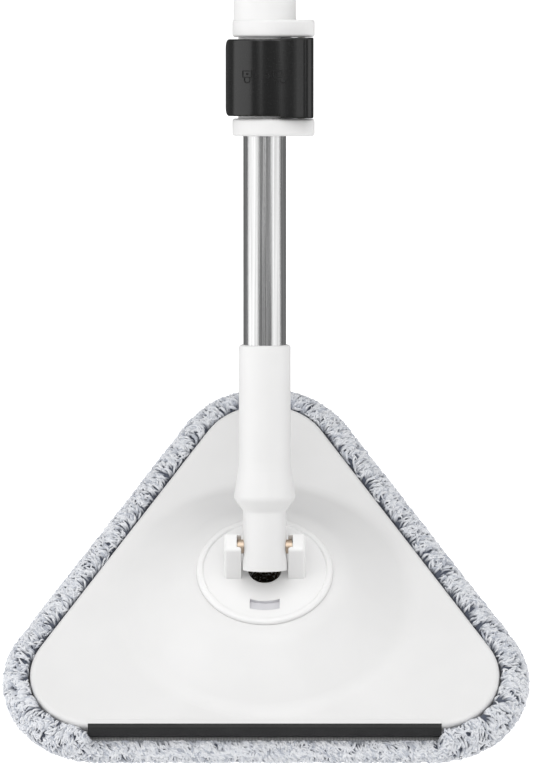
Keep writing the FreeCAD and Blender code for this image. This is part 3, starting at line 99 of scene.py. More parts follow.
class Shader:
    """A material's node tree, with short calls for the nodes that the finishes share."""

    def __init__(self, name):
        self.material = bpy.data.materials.new(name)
        self.material.use_nodes = True
        self.tree = self.material.node_tree
        self.surface = self.tree.nodes["Principled BSDF"]
        self.coordinates = self.tree.nodes.new("ShaderNodeTexCoord").outputs["Object"]

    def link(self, source, target):
        self.tree.links.new(source, target)

    def stretched(self, scale, turn=(0, 0, 0)):
        """The object's coordinates in metres, turned and then scaled along each axis."""
        turned = self.tree.nodes.new("ShaderNodeMapping")
        turned.inputs["Rotation"].default_value = turn
        self.link(self.coordinates, turned.inputs["Vector"])
        scaled = self.tree.nodes.new("ShaderNodeMapping")
        scaled.inputs["Scale"].default_value = scale
        self.link(turned.outputs[0], scaled.inputs["Vector"])
        return scaled.outputs[0]

    def noise(self, scale, detail=4.0, vector=None, distortion=0.0):
        node = self.tree.nodes.new("ShaderNodeTexNoise")
        node.inputs["Scale"].default_value = scale
        node.inputs["Detail"].default_value = detail
        node.inputs["Distortion"].default_value = distortion
        self.link(vector or self.coordinates, node.inputs["Vector"])
        return node.outputs["Fac"]

    def ramp(self, factor, stops):
        node = self.tree.nodes.new("ShaderNodeValToRGB")
        elements = node.color_ramp.elements
        for place, colour in stops[2:]:
            elements.new(place)
        for element, (place, colour) in zip(elements, sorted(stops)):
            element.position = place
            element.color = (*colour, 1)
        self.link(factor, node.inputs["Fac"])
        return node.outputs["Color"]

    def tones(self, factor, dark, light):
        """Noise as a colour from dark to light."""
        return self.ramp(factor, [(NOISE_LOW, dark), (NOISE_HIGH, light)])

    def mapped(self, value, low, high, start, end):
        node = self.tree.nodes.new("ShaderNodeMapRange")
        node.inputs["From Min"].default_value = low
        node.inputs["From Max"].default_value = high
        node.inputs["To Min"].default_value = start
        node.inputs["To Max"].default_value = end
        self.link(value, node.inputs["Value"])
        return node.outputs["Result"]

    def span(self, factor, low, high):
        """Noise as a value from low to high."""
        return self.mapped(factor, NOISE_LOW, NOISE_HIGH, low, high)

    def fade(self, value, full, gone):
        """1 below full and 0 above gone."""
        return self.mapped(value, full, gone, 1.0, 0.0)

    def mix(self, first, second, blend):
        node = self.tree.nodes.new("ShaderNodeMix")
        node.data_type = "RGBA"
        node.blend_type = blend
        self.link(first, node.inputs["A"])
        self.link(second, node.inputs["B"])
        return node

    def multiply(self, first, second, amount):
        node = self.mix(first, second, "MULTIPLY")
        node.inputs["Factor"].default_value = amount
        return node.outputs["Result"]

    def overlay(self, tone, colour, mask):
        """The tone, with a colour over it where the mask is 1."""
        node = self.mix(tone, colour, "MIX")
        self.link(mask, node.inputs["Factor"])
        return node.outputs["Result"]

    def attribute(self, name):
        node = self.tree.nodes.new("ShaderNodeAttribute")
        node.attribute_name = name
        return node.outputs["Fac"]

    def bump(self, height, strength, distance, normal=None):
        node = self.tree.nodes.new("ShaderNodeBump")
        node.inputs["Strength"].default_value = strength
        node.inputs["Distance"].default_value = distance
        self.link(height, node.inputs["Height"])
        if normal is not None:
            self.link(normal, node.inputs["Normal"])
        return node.outputs["Normal"]

    def join(self, kind, operation, first, second):
        """A Math or VectorMath node over two outputs or fixed values."""
        node = self.tree.nodes.new(kind)
        node.operation = operation
        for socket, value in zip(node.inputs, (first, second)):
            if isinstance(value, bpy.types.NodeSocket):
                self.link(value, socket)
            elif value is not None:
                socket.default_value = value
        return node.outputs

    def hub_painted_shade(self, tone):
        """Painted shade on the hub: grey in the disc's sunk slot, and near-black brown down the bore with a ragged
        rim.
        """
        flat = self.join("ShaderNodeVectorMath", "MULTIPLY", self.coordinates, (1, 1, 0))["Vector"]
        reach = self.join("ShaderNodeVectorMath", "LENGTH", flat, None)["Value"]
        split = self.tree.nodes.new("ShaderNodeSeparateXYZ")
        self.link(self.coordinates, split.inputs[0])
        height = split.outputs["Z"]
        ragged = self.span(self.noise(700.0, 4.0), *BORE_SHADE_RAGGED)
        rough_reach = self.join("ShaderNodeMath", "ADD", reach, ragged)["Value"]
        in_slot = self.join("ShaderNodeMath", "MULTIPLY", self.fade(reach, *SLOT_REACH),
                            self.fade(height, *SLOT_TOP))["Value"]
        in_bore = self.join("ShaderNodeMath", "MULTIPLY", self.fade(rough_reach, *BORE_SHADE_REACH),
                            self.fade(height, *BORE_SHADE_TOP))["Value"]
        # Painted shade: light grey on the sunk slot's floor and walls, standing for the shade in the recess.
        slot_painted_shade = self.tones(self.noise(90.0, 3.0), (0.66, 0.655, 0.68), (0.72, 0.715, 0.74))
        # Painted shade: near-black brown down the hinge bore, where the hole lies in shade.
        bore_shade = self.tones(self.noise(150.0, 3.0), (0.06, 0.034, 0.02), (0.08, 0.045, 0.026))
        return self.overlay(self.overlay(tone, slot_painted_shade, in_slot), bore_shade, in_bore)

    def bevel(self, radius):
        node = self.tree.nodes.new("ShaderNodeBevel")
        node.samples = BEVEL_SAMPLES
        node.inputs["Radius"].default_value = radius
        return node.outputs["Normal"]

    def set(self, **values):
        for name, value in values.items():
            self.surface.inputs[name.replace("_", " ")].default_value = value

    def colour(self, output):
        self.link(output, self.surface.inputs["Base Color"])

    def roughness(self, output):
        self.link(output, self.surface.inputs["Roughness"])

    def normal(self, output):
        self.link(output, self.surface.inputs["Normal"])


def grey(level, warmth=0.0):
    return (level + warmth, level, level - warmth)


# ---------- finishes ----------

def moulded_plastic(name, light, dark, roughness, grain=2600.0, grain_depth=0.00002, with_hub_shade=False):
    """Satin injection-moulded plastic: faint cloudiness, fine spark-eroded grain, softened edges."""
    shader = Shader(name)
    cloud = shader.noise(22.0, 3.0)
    tone = shader.tones(cloud, dark, light)
    # For the hub only: painted shade in its sunk slot and down its bore.
    shader.colour(shader.hub_painted_shade(tone) if with_hub_shade else tone)
    grain_height = shader.noise(grain, 2.0)
    shader.roughness(shader.span(grain_height, roughness - 0.05, roughness + 0.06))
    shader.normal(shader.bump(grain_height, 0.35, grain_depth, shader.bevel(0.0004)))
    return shader.material


def brushed_steel(name, light, dark, roughness):
    """Drawn steel tube with long fine streaks along the handle."""
    shader = Shader(name)
    turn = (HANDLE_LEAN, 0, 0)
    fine = shader.noise(1.0, 3.0, shader.stretched((1900, 1900, 9), turn))
    broad = shader.noise(1.0, 2.0, shader.stretched((420, 420, 4), turn))
    streaks = shader.ramp(fine, [(0.32, dark), (0.68, light)])
    bands = shader.tones(broad, grey(0.82), grey(1.0))
    shader.colour(shader.multiply(streaks, bands, 0.8))
    shader.roughness(shader.span(fine, roughness - 0.06, roughness + 0.08))
    shader.normal(shader.bump(fine, 0.25, 0.00001))
    shader.set(Metallic=1.0)
    return shader.material


def plated_steel(name, light, dark, roughness):
    """Zinc-plated fasteners and pins with faint blotches."""
    shader = Shader(name)
    blotch = shader.noise(380.0, 5.0)
    shader.colour(shader.tones(blotch, dark, light))
    shader.roughness(shader.span(blotch, roughness - 0.08, roughness + 0.1))
    shader.normal(shader.bump(shader.noise(3000.0, 2.0), 0.2, 0.00001, shader.bevel(0.0002)))
    shader.set(Metallic=1.0)
    return shader.material


def rubber(name, light, dark, roughness, grain=1400.0):
    """Matt rubber with a dusty bloom and a pebbled grain."""
    shader = Shader(name)
    bloom = shader.noise(60.0, 6.0)
    shader.colour(shader.tones(bloom, dark, light))
    pebble = shader.noise(grain, 3.0)
    shader.roughness(shader.span(pebble, roughness - 0.06, roughness + 0.08))
    shader.normal(shader.bump(pebble, 0.4, 0.00003, shader.bevel(0.0003)))
    return shader.material


def woven_cloth(name, light, dark, pitch):
    """Knitted or woven cloth: two crossed sets of threads of the given pitch in metres."""
    shader = Shader(name)
    threads = []
    for axis in (0, 1):
        wave = shader.tree.nodes.new("ShaderNodeTexWave")
        wave.bands_direction = ("X", "Y")[axis]
        wave.inputs["Scale"].default_value = WAVE_PITCH / pitch
        wave.inputs["Distortion"].default_value = 1.5
        shader.link(shader.coordinates, wave.inputs["Vector"])
        threads.append(wave.outputs["Color"])
    weave = shader.multiply(threads[0], threads[1], 0.7)
    shade = shader.tones(shader.noise(500.0, 5.0), dark, light)
    shader.colour(shader.multiply(shade, weave, 0.35))
    shader.normal(shader.bump(weave, 0.6, 0.0002))
    shader.set(Roughness=0.95, Sheen_Weight=0.3)
    return shader.material


def chenille(name, tip, root):
    """Microfibre yarn: pale at the tip and darkened to blue-grey towards the root as painted shade deep in the
    pile, each strand a little different.
    """
    shader = Shader(name)
    # Painted shade: the colour darkens from the pale tip to the root, where the pile lies in shade.
    depth = shader.ramp(shader.attribute("reach"), [(0.0, root), (0.5, tip)])
    tints = [(0.0, (0.56, 0.585, 0.64)), (1.0, (1.0, 1.0, 1.0)), (0.3, (0.92, 0.93, 0.95))]
    tinted = shader.multiply(depth, shader.ramp(shader.attribute("tint"), tints), 1.0)
    fibre = shader.noise(2600.0, 3.0, distortion=1.0)
    shader.colour(shader.multiply(tinted, shader.tones(fibre, grey(0.8), grey(1.0)), 0.6))
    shader.normal(shader.bump(fibre, 0.5, 0.00015))
    shader.set(Roughness=0.95, Sheen_Weight=0.25)
    return shader.material


def finishes():
    """One material for each slot of the record."""
    return {
        "white_plastic": moulded_plastic("white_plastic", grey(0.83, 0.004), grey(0.79, 0.004), 0.42),
        # The hub's white is lighter than white_plastic: painted light that lifts the shade the neck casts on the
        # disc.
        "hub_painted_light_and_shade": moulded_plastic("hub_painted_light_and_shade", grey(0.9, 0.004), grey(0.87, 0.004), 0.42,
                                       with_hub_shade=True),
        "zinc_steel": plated_steel("zinc_steel", (0.66, 0.62, 0.52), (0.5, 0.46, 0.38), 0.35),
        "brushed_tube": brushed_steel("brushed_tube", grey(0.74), grey(0.46), 0.2),
        "coated_tube": moulded_plastic("coated_tube", grey(0.8), grey(0.77), 0.35, 900.0, 0.00003),
        "black_plastic": moulded_plastic("black_plastic", grey(0.004), grey(0.0025), 0.22,
                                         2000.0, 0.000004),
        "dark_plastic": moulded_plastic("dark_plastic", (0.012, 0.009, 0.007),
                                        (0.008, 0.006, 0.004), 0.6, 1200.0),
        "grey_rubber": rubber("grey_rubber", grey(0.32), grey(0.26), 0.7),
        "black_rubber": rubber("black_rubber", grey(0.017), grey(0.011), 0.55),
        "brake_rubber": rubber("brake_rubber", grey(0.09), grey(0.06), 0.7),
        "bronze": plated_steel("bronze", (0.74, 0.62, 0.5), (0.52, 0.4, 0.3), 0.45),
        "slip_plastic": moulded_plastic("slip_plastic", grey(0.7, 0.02), grey(0.64, 0.02), 0.35),
        "hook_tape": woven_cloth("hook_tape", grey(0.16), grey(0.08), 0.0012),
        "backing_cloth": woven_cloth("backing_cloth", grey(0.6), grey(0.5), 0.0016),
        "binding_tape": woven_cloth("binding_tape", (0.5, 0.52, 0.56), (0.4, 0.42, 0.46), 0.0014),
        # The pile's second colour is painted shade: the blue-grey the yarn takes towards its root.
        "chenille_pile": chenille("chenille_pile", (0.87, 0.88, 0.905), (0.16, 0.175, 0.215)),
    }


def dress_nodes(materials):
    """Give every CAD node its slot's finish; the hub disc instead takes a lighter copy of the white plastic,
    painted light against the neck's shade, with painted shade in its slot and bore.
    """
    for entry in frame["record"]["subparts"]:
        thing = NODES[entry["node"]]
        smooth_by_angle(thing, SHARP_ANGLE)
        slots = thing.data.materials
        finish = "hub_painted_light_and_shade" if entry["node"] == "hub_disc" else entry["material_slot"]
        if not slots:
            slots.append(None)
        for index in range(len(slots)):
            slots[index] = materials[finish]


# ---------- pad ----------

# The pad's outline follows the plate's at its inner edge and is rounder at its outer edge.
PLATE_CORNER_DISTANCE = 99.0 * MM
PLATE_CORNER_RADIUS = 35.0 * MM
PAD_CORNER_DISTANCE = 98.5 * MM
PAD_CORNER_RADIUS = 51.4 * MM
PAD_SHIFT = (0.7 * MM, 3.8 * MM)     # the pad's middle from the plate's
PAD_OVERHANG = 15.2 * MM             # how far the pad stands past the plate's sides, nominally
ARC_SHARE = 0.355                    # the share of each third of the outline that a corner arc takes
FIRST_CORNER = math.pi / 2

# The padded core's section: distance outside the plate's edge and height, in millimetres.
CORE_SECTION = [(-8.0, 8.4), (4.2, 8.4), (4.2, 10.5), (0.8, 10.6), (0.8, 16.2), (1.5, 18.0),
                (4.0, 18.3), (8.4, 16.6), (11.8, 12.6), (13.3, 8.0), (12.4, 4.2), (9.4, 2.0),
                (4.0, 1.6), (-8.0, 1.6)]
CORNER_CUTS = 3
SECTION_STEPS = 400
CORE_AROUND = 300
CORE_ACROSS = 64
LUMP_HEIGHT = 0.3 * MM
BARE_HEIGHT = 15.0 * MM          # the pile starts this high on the core's wall beside the plate
BARE_OFFSET = 5.0 * MM           # and ends this far out on the core's underside

# The pile lies lower and further out in front of the squeegee.
BLADE_REACH = 92.0 * MM          # half the pressed stretch
BLADE_SIDE = -80.0 * MM          # it lies in front of this y
BLADE_LEVEL = 8.8 * MM           # what is higher than this is pressed down
BLADE_DIP = 0.9                  # by this share of its height over the level
BLADE_PUSH = 2.4 * MM
BLADE_FADE = 4.0 * MM


def unit(vectors):
    return vectors / np.linalg.norm(vectors, axis=-1, keepdims=True)


def smooth_step(values):
    held = np.clip(values, 0, 1)
    return held * held * (3 - 2 * held)


def outline_points(turn, offset):
    """Points on the pad's outline and their outward normals. turn runs from 0 to 3 round the pad,
    offset is the distance outside the plate's edge; both are arrays of one shape."""
    share = offset / PAD_OVERHANG
    distance = PLATE_CORNER_DISTANCE + (PAD_CORNER_DISTANCE - PLATE_CORNER_DISTANCE) * share
    radius = PLATE_CORNER_RADIUS + (PAD_CORNER_RADIUS - PLATE_CORNER_RADIUS) * share
    corner = np.floor(turn)
    part = turn - corner
    facing = FIRST_CORNER + corner * 2 * math.pi / 3
    after = facing + 2 * math.pi / 3
    on_arc = np.minimum(part / ARC_SHARE, 1.0)
    on_side = np.maximum((part - ARC_SHARE) / (1 - ARC_SHARE), 0.0)
    angle = facing - math.pi / 3 + on_arc * 2 * math.pi / 3
    normal = np.stack([np.cos(angle), np.sin(angle)], axis=-1)
    centre = np.stack([np.cos(facing), np.sin(facing)], axis=-1) * distance[..., None]
    next_centre = np.stack([np.cos(after), np.sin(after)], axis=-1) * distance[..., None]
    middle = centre + (next_centre - centre) * on_side[..., None]
    middle = middle + np.array(PAD_SHIFT) * share[..., None]
    return middle + normal * radius[..., None], normal


def section_curve(count):
    """The core's section with its corners cut round, as evenly spaced points, with outward normals
    and distances along it."""
    corners = np.array(CORE_SECTION) * MM
    for _ in range(CORNER_CUTS):
        cut = np.concatenate([corners[:-1] * 0.75 + corners[1:] * 0.25,
                              corners[:-1] * 0.25 + corners[1:] * 0.75], axis=1)
        corners = np.concatenate([corners[:1], cut.reshape(-1, 2), corners[-1:]])
    steps = np.linalg.norm(np.diff(corners, axis=0), axis=1)
    length = np.concatenate([[0], np.cumsum(steps)])
    places = np.linspace(0, length[-1], count)
    points = np.stack([np.interp(places, length, corners[:, i]) for i in (0, 1)], axis=1)
    heading = unit(np.gradient(points, axis=0))
    return points, np.stack([-heading[:, 1], heading[:, 0]], axis=1), places


def core_point(along, turn):
    """Points on the core and their normals, from the distance along the section and the turn."""
    points, normals, places = section_curve(SECTION_STEPS)
    offset, height, out, up = [np.interp(along, places, column)
                               for column in (*points.T, *normals.T)]
    flat, outward = outline_points(turn % 3, offset)
    out, up = np.maximum(out, 0), up + np.maximum(-out, 0)
    near_blade = smooth_step((BLADE_REACH - np.abs(flat[..., 0])) / BLADE_FADE)
    near_blade = near_blade * (flat[..., 1] < BLADE_SIDE)
    dip = BLADE_DIP * near_blade * np.maximum(height - BLADE_LEVEL, 0)
    push = BLADE_PUSH * near_blade * smooth_step((BLADE_FADE - offset) / BLADE_FADE)
    flat = flat + outward * push[..., None]
    position = np.concatenate([flat, (height - dip)[..., None]], axis=-1)
    normal = np.concatenate([outward * out[..., None], up[..., None]], axis=-1)
    return position, unit(normal)


def pad_core(material):
    """The stuffed body under the pile: one closed crowned ring-and-base form. It has no reach values, so it takes
    the pile's dark root colour, painted shade in the gaps between strands.
    """
    around, across = CORE_AROUND, CORE_ACROSS
    places = section_curve(SECTION_STEPS)[2]
    along = np.linspace(0, places[-1], across)
    turn = np.linspace(0, 3, around, endpoint=False)
    grid_along, grid_turn = np.meshgrid(along, turn, indexing="ij")
    position, normal = core_point(grid_along, grid_turn)
    lumps = np.sin(grid_turn * 83) * np.sin(grid_turn * 31 + grid_along * 700)
    position = position + normal * (LUMP_HEIGHT * lumps)[..., None]
    faces = []
    for row in range(across - 1):
        for step in range(around):
            after = (step + 1) % around
            low, high = row * around, (row + 1) * around
            faces.append((low + step, low + after, high + after, high + step))
    faces.append(tuple(range(around))[::-1])
    faces.append(tuple((across - 1) * around + step for step in range(around)))
    core = mesh_object("pad_core", position.reshape(-1, 3), faces)
    finish_piece(core, "head", material)
    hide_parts("pad_pile")


LOCK_SCALE = 270                 # about the outline's length in millimetres for one unit of turn


def lock_field(turn, along):
    """A slowly changing lay over the pad, so that neighbouring strands lie in locks."""
    around = turn * LOCK_SCALE
    down = along / MM
    first = np.sin(around * 0.43 + 1.9 * np.sin(down * 0.21)) + np.sin(around * 0.17 + down * 0.33)
    second = np.sin(around * 0.71 + 2.3 * np.sin(down * 0.4 + around * 0.05))
    return 0.5 * first + 0.35 * second


def tube_faces(count, stations, sides):
    """Quads and triangles of equal closed tubes, as corner indices and face sizes."""
    rows = np.arange(stations - 1)[:, None] * sides
    spokes = np.arange(sides)[None, :]
    after = (spokes + 1) % sides
    walls = np.stack([rows + spokes, rows + after, rows + sides + after, rows + sides + spokes], axis=-1)
    tip_row = (stations - 1) * sides
    tip = np.full(sides, stations * sides)
    tips = np.stack([tip_row + spokes[0], tip_row + after[0], tip], axis=-1)
    root = np.arange(sides)[::-1]
    corners = np.concatenate([walls.ravel(), tips.ravel(), root])
    sizes = np.concatenate([np.full(walls.shape[0] * sides, 4), np.full(sides, 3), [sides]])
    starts = np.arange(count)[:, None] * (stations * sides + 1)
    return (starts + corners[None, :]).ravel(), np.tile(sizes, count)


TIP_LENGTH = 0.8                 # of a strand's pointed end, in girths
FLOOR_GAP = 0.9                  # a strand's middle stays this many girths above the floor


def belly(reach, ends, middle):
    """A strand's girth along its length: widest in the middle and finer at the tip."""
    return ends + middle * np.sin(math.pi * reach) - 0.25 * reach ** 3


def add_values(thing, name, values):
    attribute = thing.data.attributes.new(name, "FLOAT", "POINT")
    attribute.data.foreach_set("value", values.astype(np.float32))


def strands(name, centre, girth, side_hint, sides, tint, material):
    """Yarn ends as closed tubes along centre lines of shape (strand, station, 3)."""
    count, stations = centre.shape[:2]
    forward = unit(np.gradient(centre, axis=1))
    right = unit(np.cross(forward, side_hint))
    up = np.cross(forward, right)
    spokes = np.linspace(0, 2 * math.pi, sides, endpoint=False)[:, None]
    rings = centre[:, :, None] + girth[..., None, None] * (
        right[:, :, None] * np.cos(spokes) + up[:, :, None] * np.sin(spokes))
    tips = centre[:, -1] + forward[:, -1] * girth[:, -1:] * TIP_LENGTH
    points = np.concatenate([rings.reshape(count, -1, 3), tips[:, None]], axis=1)
    corners, sizes = tube_faces(count, stations, sides)
    mesh = bpy.data.meshes.new(name)
    mesh.vertices.add(points.shape[0] * points.shape[1])
    mesh.vertices.foreach_set("co", points.astype(np.float32).ravel())
    mesh.loops.add(len(corners))
    mesh.loops.foreach_set("vertex_index", corners.astype(np.int32))
    mesh.polygons.add(len(sizes))
    starts = np.concatenate([[0], np.cumsum(sizes)[:-1]])
    mesh.polygons.foreach_set("loop_start", starts.astype(np.int32))
    mesh.polygons.foreach_set("loop_total", sizes.astype(np.int32))
    mesh.update(calc_edges=True)
    mesh.polygons.foreach_set("use_smooth", [True] * len(sizes))
    piece = bpy.data.objects.new(name, mesh)
    bpy.context.scene.collection.objects.link(piece)
    reach = np.append(np.repeat(np.linspace(0, 1, stations), sides), 1.0)
    add_values(piece, "reach", np.tile(reach, count))
    add_values(piece, "tint", np.repeat(tint, stations * sides + 1))
    finish_piece(piece, "head", material)


BORDER_STRETCHES = 6
STRANDS_PER_STRETCH = 2300
BORDER_STATIONS = 7
BORDER_SIDES = 5
OUTLINE_LENGTH = 790 * MM

# The strands' measures in millimetres, as the least and the most.
BORDER_LENGTH = (4.0, 7.5)
BORDER_LIFT = (0.6, 1.5)
BORDER_WAVE = (0.1, 0.35)
BORDER_THICKNESS = (0.42, 0.68)

# How a strand lies, in radians from straight down the pad's side.
LOCK_SHARE = 0.75
LAY_SPREAD = 0.5
BEND_SPREAD = 0.8
WAVE_TURN = 9

# How it arches over the core: the share of a half wave, its height and its root's depth in lifts.
ARCH_SHARE = 0.75
ARCH_HEIGHT = 1.25
ROOT_DEPTH = 0.35

# On the squeegee's side the strands are longer, more alike in lay, and turned.
NEAR_SIDE_STRETCH = 1.4
NEAR_SIDE_SPREAD = 0.7
NEAR_SIDE_LAY = 0.35


def pile_border(material, random):
    """The pile that shows round the plate, combed outwards, in equal stretches."""
    points, _, places = section_curve(SECTION_STEPS)
    inner = places[np.argmax((points[:, 0] < 1.2 * MM) & (points[:, 1] > BARE_HEIGHT))]
    outer = places[np.nonzero(points[:, 0] > BARE_OFFSET)[0][-1]]
    reach = np.linspace(0, 1, BORDER_STATIONS)[None, :]
    count = STRANDS_PER_STRETCH
    for stretch in range(BORDER_STRETCHES):
        turn = (stretch + random.uniform(0, 1, count)) * 3 / BORDER_STRETCHES
        along = random.uniform(inner, outer, count)
        length = random.uniform(*BORDER_LENGTH, count) * MM
        lay = LOCK_SHARE * lock_field(turn, along) + random.normal(0, LAY_SPREAD, count)
        near_side = (turn > 1 + ARC_SHARE) & (turn < 2)
        length = np.where(near_side, NEAR_SIDE_STRETCH * length, length)
        lay = np.where(near_side, NEAR_SIDE_SPREAD * lay + NEAR_SIDE_LAY, lay)
        bend = random.normal(0, BEND_SPREAD, count)[:, None] * (reach - 0.5)
        heading = lay[:, None] + bend
        step = length[:, None] / (BORDER_STATIONS - 1)
        down = along[:, None] + np.cumsum(np.cos(heading) * step, axis=1)
        sideways = np.cumsum(np.sin(heading) * step, axis=1) * 3 / OUTLINE_LENGTH
        surface, normal = core_point(down, turn[:, None] + sideways)
        lift = random.uniform(*BORDER_LIFT, count)[:, None] * MM
        wave = random.uniform(*BORDER_WAVE, count)[:, None] * MM
        phase = random.uniform(0, 2 * math.pi, count)[:, None]
        rise = lift * (np.sin(math.pi * (reach * ARCH_SHARE)) * ARCH_HEIGHT - ROOT_DEPTH)
        rise = rise + wave * np.sin(reach * WAVE_TURN + phase)
        centre = surface + normal * rise[..., None]
        thickness = random.uniform(*BORDER_THICKNESS, count)[:, None] * MM
        girth = thickness * belly(reach, 0.75, 0.4)
        centre[..., 2] = np.maximum(centre[..., 2], girth * FLOOR_GAP)
        strands("pile_border_%d" % stretch, centre, girth, normal, BORDER_SIDES,
                random.uniform(0, 1, count), material)


UNDERSIDE_STRANDS = 6400
TRIES_PER_STRAND = 5
UNDERSIDE_PIECES = 2
UNDERSIDE_STATIONS = 5
UNDERSIDE_SIDES = 4
UNDERSIDE_INSET = 12 * MM
UNDERSIDE_ROOT = 2.0 * MM            # the strands leave the backing at this height
UNDERSIDE_STEP = (1.2, 1.9)          # in millimetres, as the least and the most
UNDERSIDE_THICKNESS = (0.6, 0.85)    # in millimetres too


def underside_places(random, wanted, inset):
    """Even random places inside the pad's outline."""
    spread = PAD_CORNER_DISTANCE + PAD_CORNER_RADIUS
    tries = random.uniform(-spread, spread, (wanted * TRIES_PER_STRAND, 2))
    angles = [FIRST_CORNER + corner * 2 * math.pi / 3 for corner in range(3)]
    centres = [np.array([math.cos(a), math.sin(a)]) * PAD_CORNER_DISTANCE for a in angles]
    reach = PAD_CORNER_RADIUS - inset
    inside = np.ones(len(tries), bool)
    for first, second in zip(centres, centres[1:] + centres[:1]):
        outward = unit(first + second)
        inside &= tries @ outward < first @ outward + reach
    nearest = np.min([np.linalg.norm(tries - centre, axis=1) for centre in centres], axis=0)
    furthest = np.max([tries @ unit(centre) for centre in centres], axis=0)
    inside &= (furthest < PAD_CORNER_DISTANCE) | (nearest < reach)
    return tries[inside][:wanted] + np.array(PAD_SHIFT)


def pile_underside(material, random):
    """The pile that wipes the floor, pressed flat."""
    places = underside_places(random, UNDERSIDE_STRANDS, UNDERSIDE_INSET)
    reach = np.linspace(0, 1, UNDERSIDE_STATIONS)[None, :]
    for index, part in enumerate(np.array_split(places, UNDERSIDE_PIECES)):
        count = len(part)
        x, y = (part / MM).T
        lay = 2.2 * np.sin(x * 0.11 + 1.6 * np.sin(y * 0.09)) + 2.0 * np.sin(y * 0.13 - x * 0.05)
        heading = (lay + random.normal(0, 0.7, count))[:, None]
        heading = heading + random.normal(0, 0.9, (count, 1)) * reach
        step = random.uniform(*UNDERSIDE_STEP, count)[:, None] * MM
        start = part[:, None]
        walk = np.stack([np.cumsum(np.cos(heading) * step, axis=1),
                         np.cumsum(np.sin(heading) * step, axis=1)], axis=-1)
        thickness = random.uniform(*UNDERSIDE_THICKNESS, count)[:, None] * MM
        girth = thickness * belly(reach, 0.85, 0.3)
        low = girth + random.uniform(0.0, 0.5, count)[:, None] * MM
        height = low + (UNDERSIDE_ROOT - low) * (1 - np.minimum(reach * 2.2, 1.0)) ** 2
        centre = np.concatenate([start + walk, height[..., None]], axis=-1)
        up = np.zeros_like(centre)
        up[..., 2] = 1.0
        strands("pile_underside_%d" % index, centre, girth, up, UNDERSIDE_SIDES,
                random.uniform(0, 1, count), material)


# ---------- lever pictograms ----------

# The lever's face: a round shell that runs into a shallow hollow on the pivot's side.
LEVER_SHELL_RADIUS = 18.7 * MM
LEVER_SHELL_SHIFT = 1.6 * MM
LEVER_HOLLOW_RADIUS = 27.0 * MM
LEVER_HOLLOW_ANGLE = math.radians(12)
LEVER_MIDDLE = 240.6 * MM
RELIEF = 0.3 * MM
SLANT = 0.75                     # a line's top is this share of its foot

# The pictograms' measures on the lever's face, in millimetres.
PADLOCK_LINE = 0.6
ARROW_LINE = 0.55
DOT_LINE = 0.5
SHACKLE_RADIUS = 1.35


def on_lever(across, up, lift):
    """A point on the lever's face, across from the tube's axis and up from the lever's middle in
    millimetres, then lift outwards."""
    side = across * MM
    apart = LEVER_SHELL_RADIUS + LEVER_HOLLOW_RADIUS
    hollow_side = apart * math.sin(LEVER_HOLLOW_ANGLE)
    hollow_front = apart * math.cos(LEVER_HOLLOW_ANGLE)
    from_shell = side + LEVER_SHELL_SHIFT
    if from_shell < LEVER_SHELL_RADIUS * math.sin(LEVER_HOLLOW_ANGLE):
        front = math.sqrt(LEVER_SHELL_RADIUS ** 2 - from_shell ** 2)
    else:
        front = hollow_front - math.sqrt(LEVER_HOLLOW_RADIUS ** 2 - (from_shell - hollow_side) ** 2)
    return HINGE + ACROSS * side + FRONT * (front + lift) + ALONG * (LEVER_MIDDLE + up * MM)


def stroke(path, width, closed=False):
    """Points and faces of a raised line along a path of (across, up) in millimetres."""
    count = len(path)
    points, faces = [], []
    for index, (across, up) in enumerate(path):
        before = path[index - 1] if index or closed else path[index]
        after = path[(index + 1) % count] if index + 1 < count or closed else path[index]
        heading = Vector((after[0] - before[0], after[1] - before[1])).normalized()
        edge = Vector((-heading.y, heading.x)) * width / 2
        inner = edge * SLANT
        points.append(on_lever(across + edge.x, up + edge.y, -RELIEF))
        points.append(on_lever(across + inner.x, up + inner.y, RELIEF))
        points.append(on_lever(across - inner.x, up - inner.y, RELIEF))
        points.append(on_lever(across - edge.x, up - edge.y, -RELIEF))
    spans = count if closed else count - 1
    for index in range(spans):
        low, high = 4 * index, 4 * ((index + 1) % count)
        for corner in range(4):
            after = (corner + 1) % 4
            faces.append((low + corner, low + after, high + after, high + corner))
    if not closed:
        faces.append((3, 2, 1, 0))
        faces.append(tuple(4 * (count - 1) + corner for corner in range(4)))
    return points, faces


def arc_path(across, up, radius, start, end, count=14):
    turns = [math.radians(start + (end - start) * i / (count - 1)) for i in range(count)]
    return [(across + radius * math.cos(turn), up + radius * math.sin(turn)) for turn in turns]


def box_path(across, up, width, height):
    half, tall = width / 2, height / 2
    corners = [(-half, -tall), (0, -tall), (half, -tall), (half, 0), (half, tall), (0, tall),
               (-half, tall), (-half, 0)]
    return [(across + x, up + y) for x, y in corners]


def padlock(across, shackle_shift, free_end):
    """A generic padlock: a box, a keyhole dot and a shackle that is shut or swung open."""
    middle = across + shackle_shift
    shackle = arc_path(middle, -1.2, SHACKLE_RADIUS, 360, 180)
    left = [(middle - SHACKLE_RADIUS, free_end)]
    right = [(middle + SHACKLE_RADIUS, 0.1)]
    return [stroke(box_path(across, 1.9, 4.4, 3.2), PADLOCK_LINE, closed=True),
            stroke(arc_path(across, 1.9, 0.35, 0, 330, 9), PADLOCK_LINE, closed=True),
            stroke(right + shackle + left, PADLOCK_LINE)]


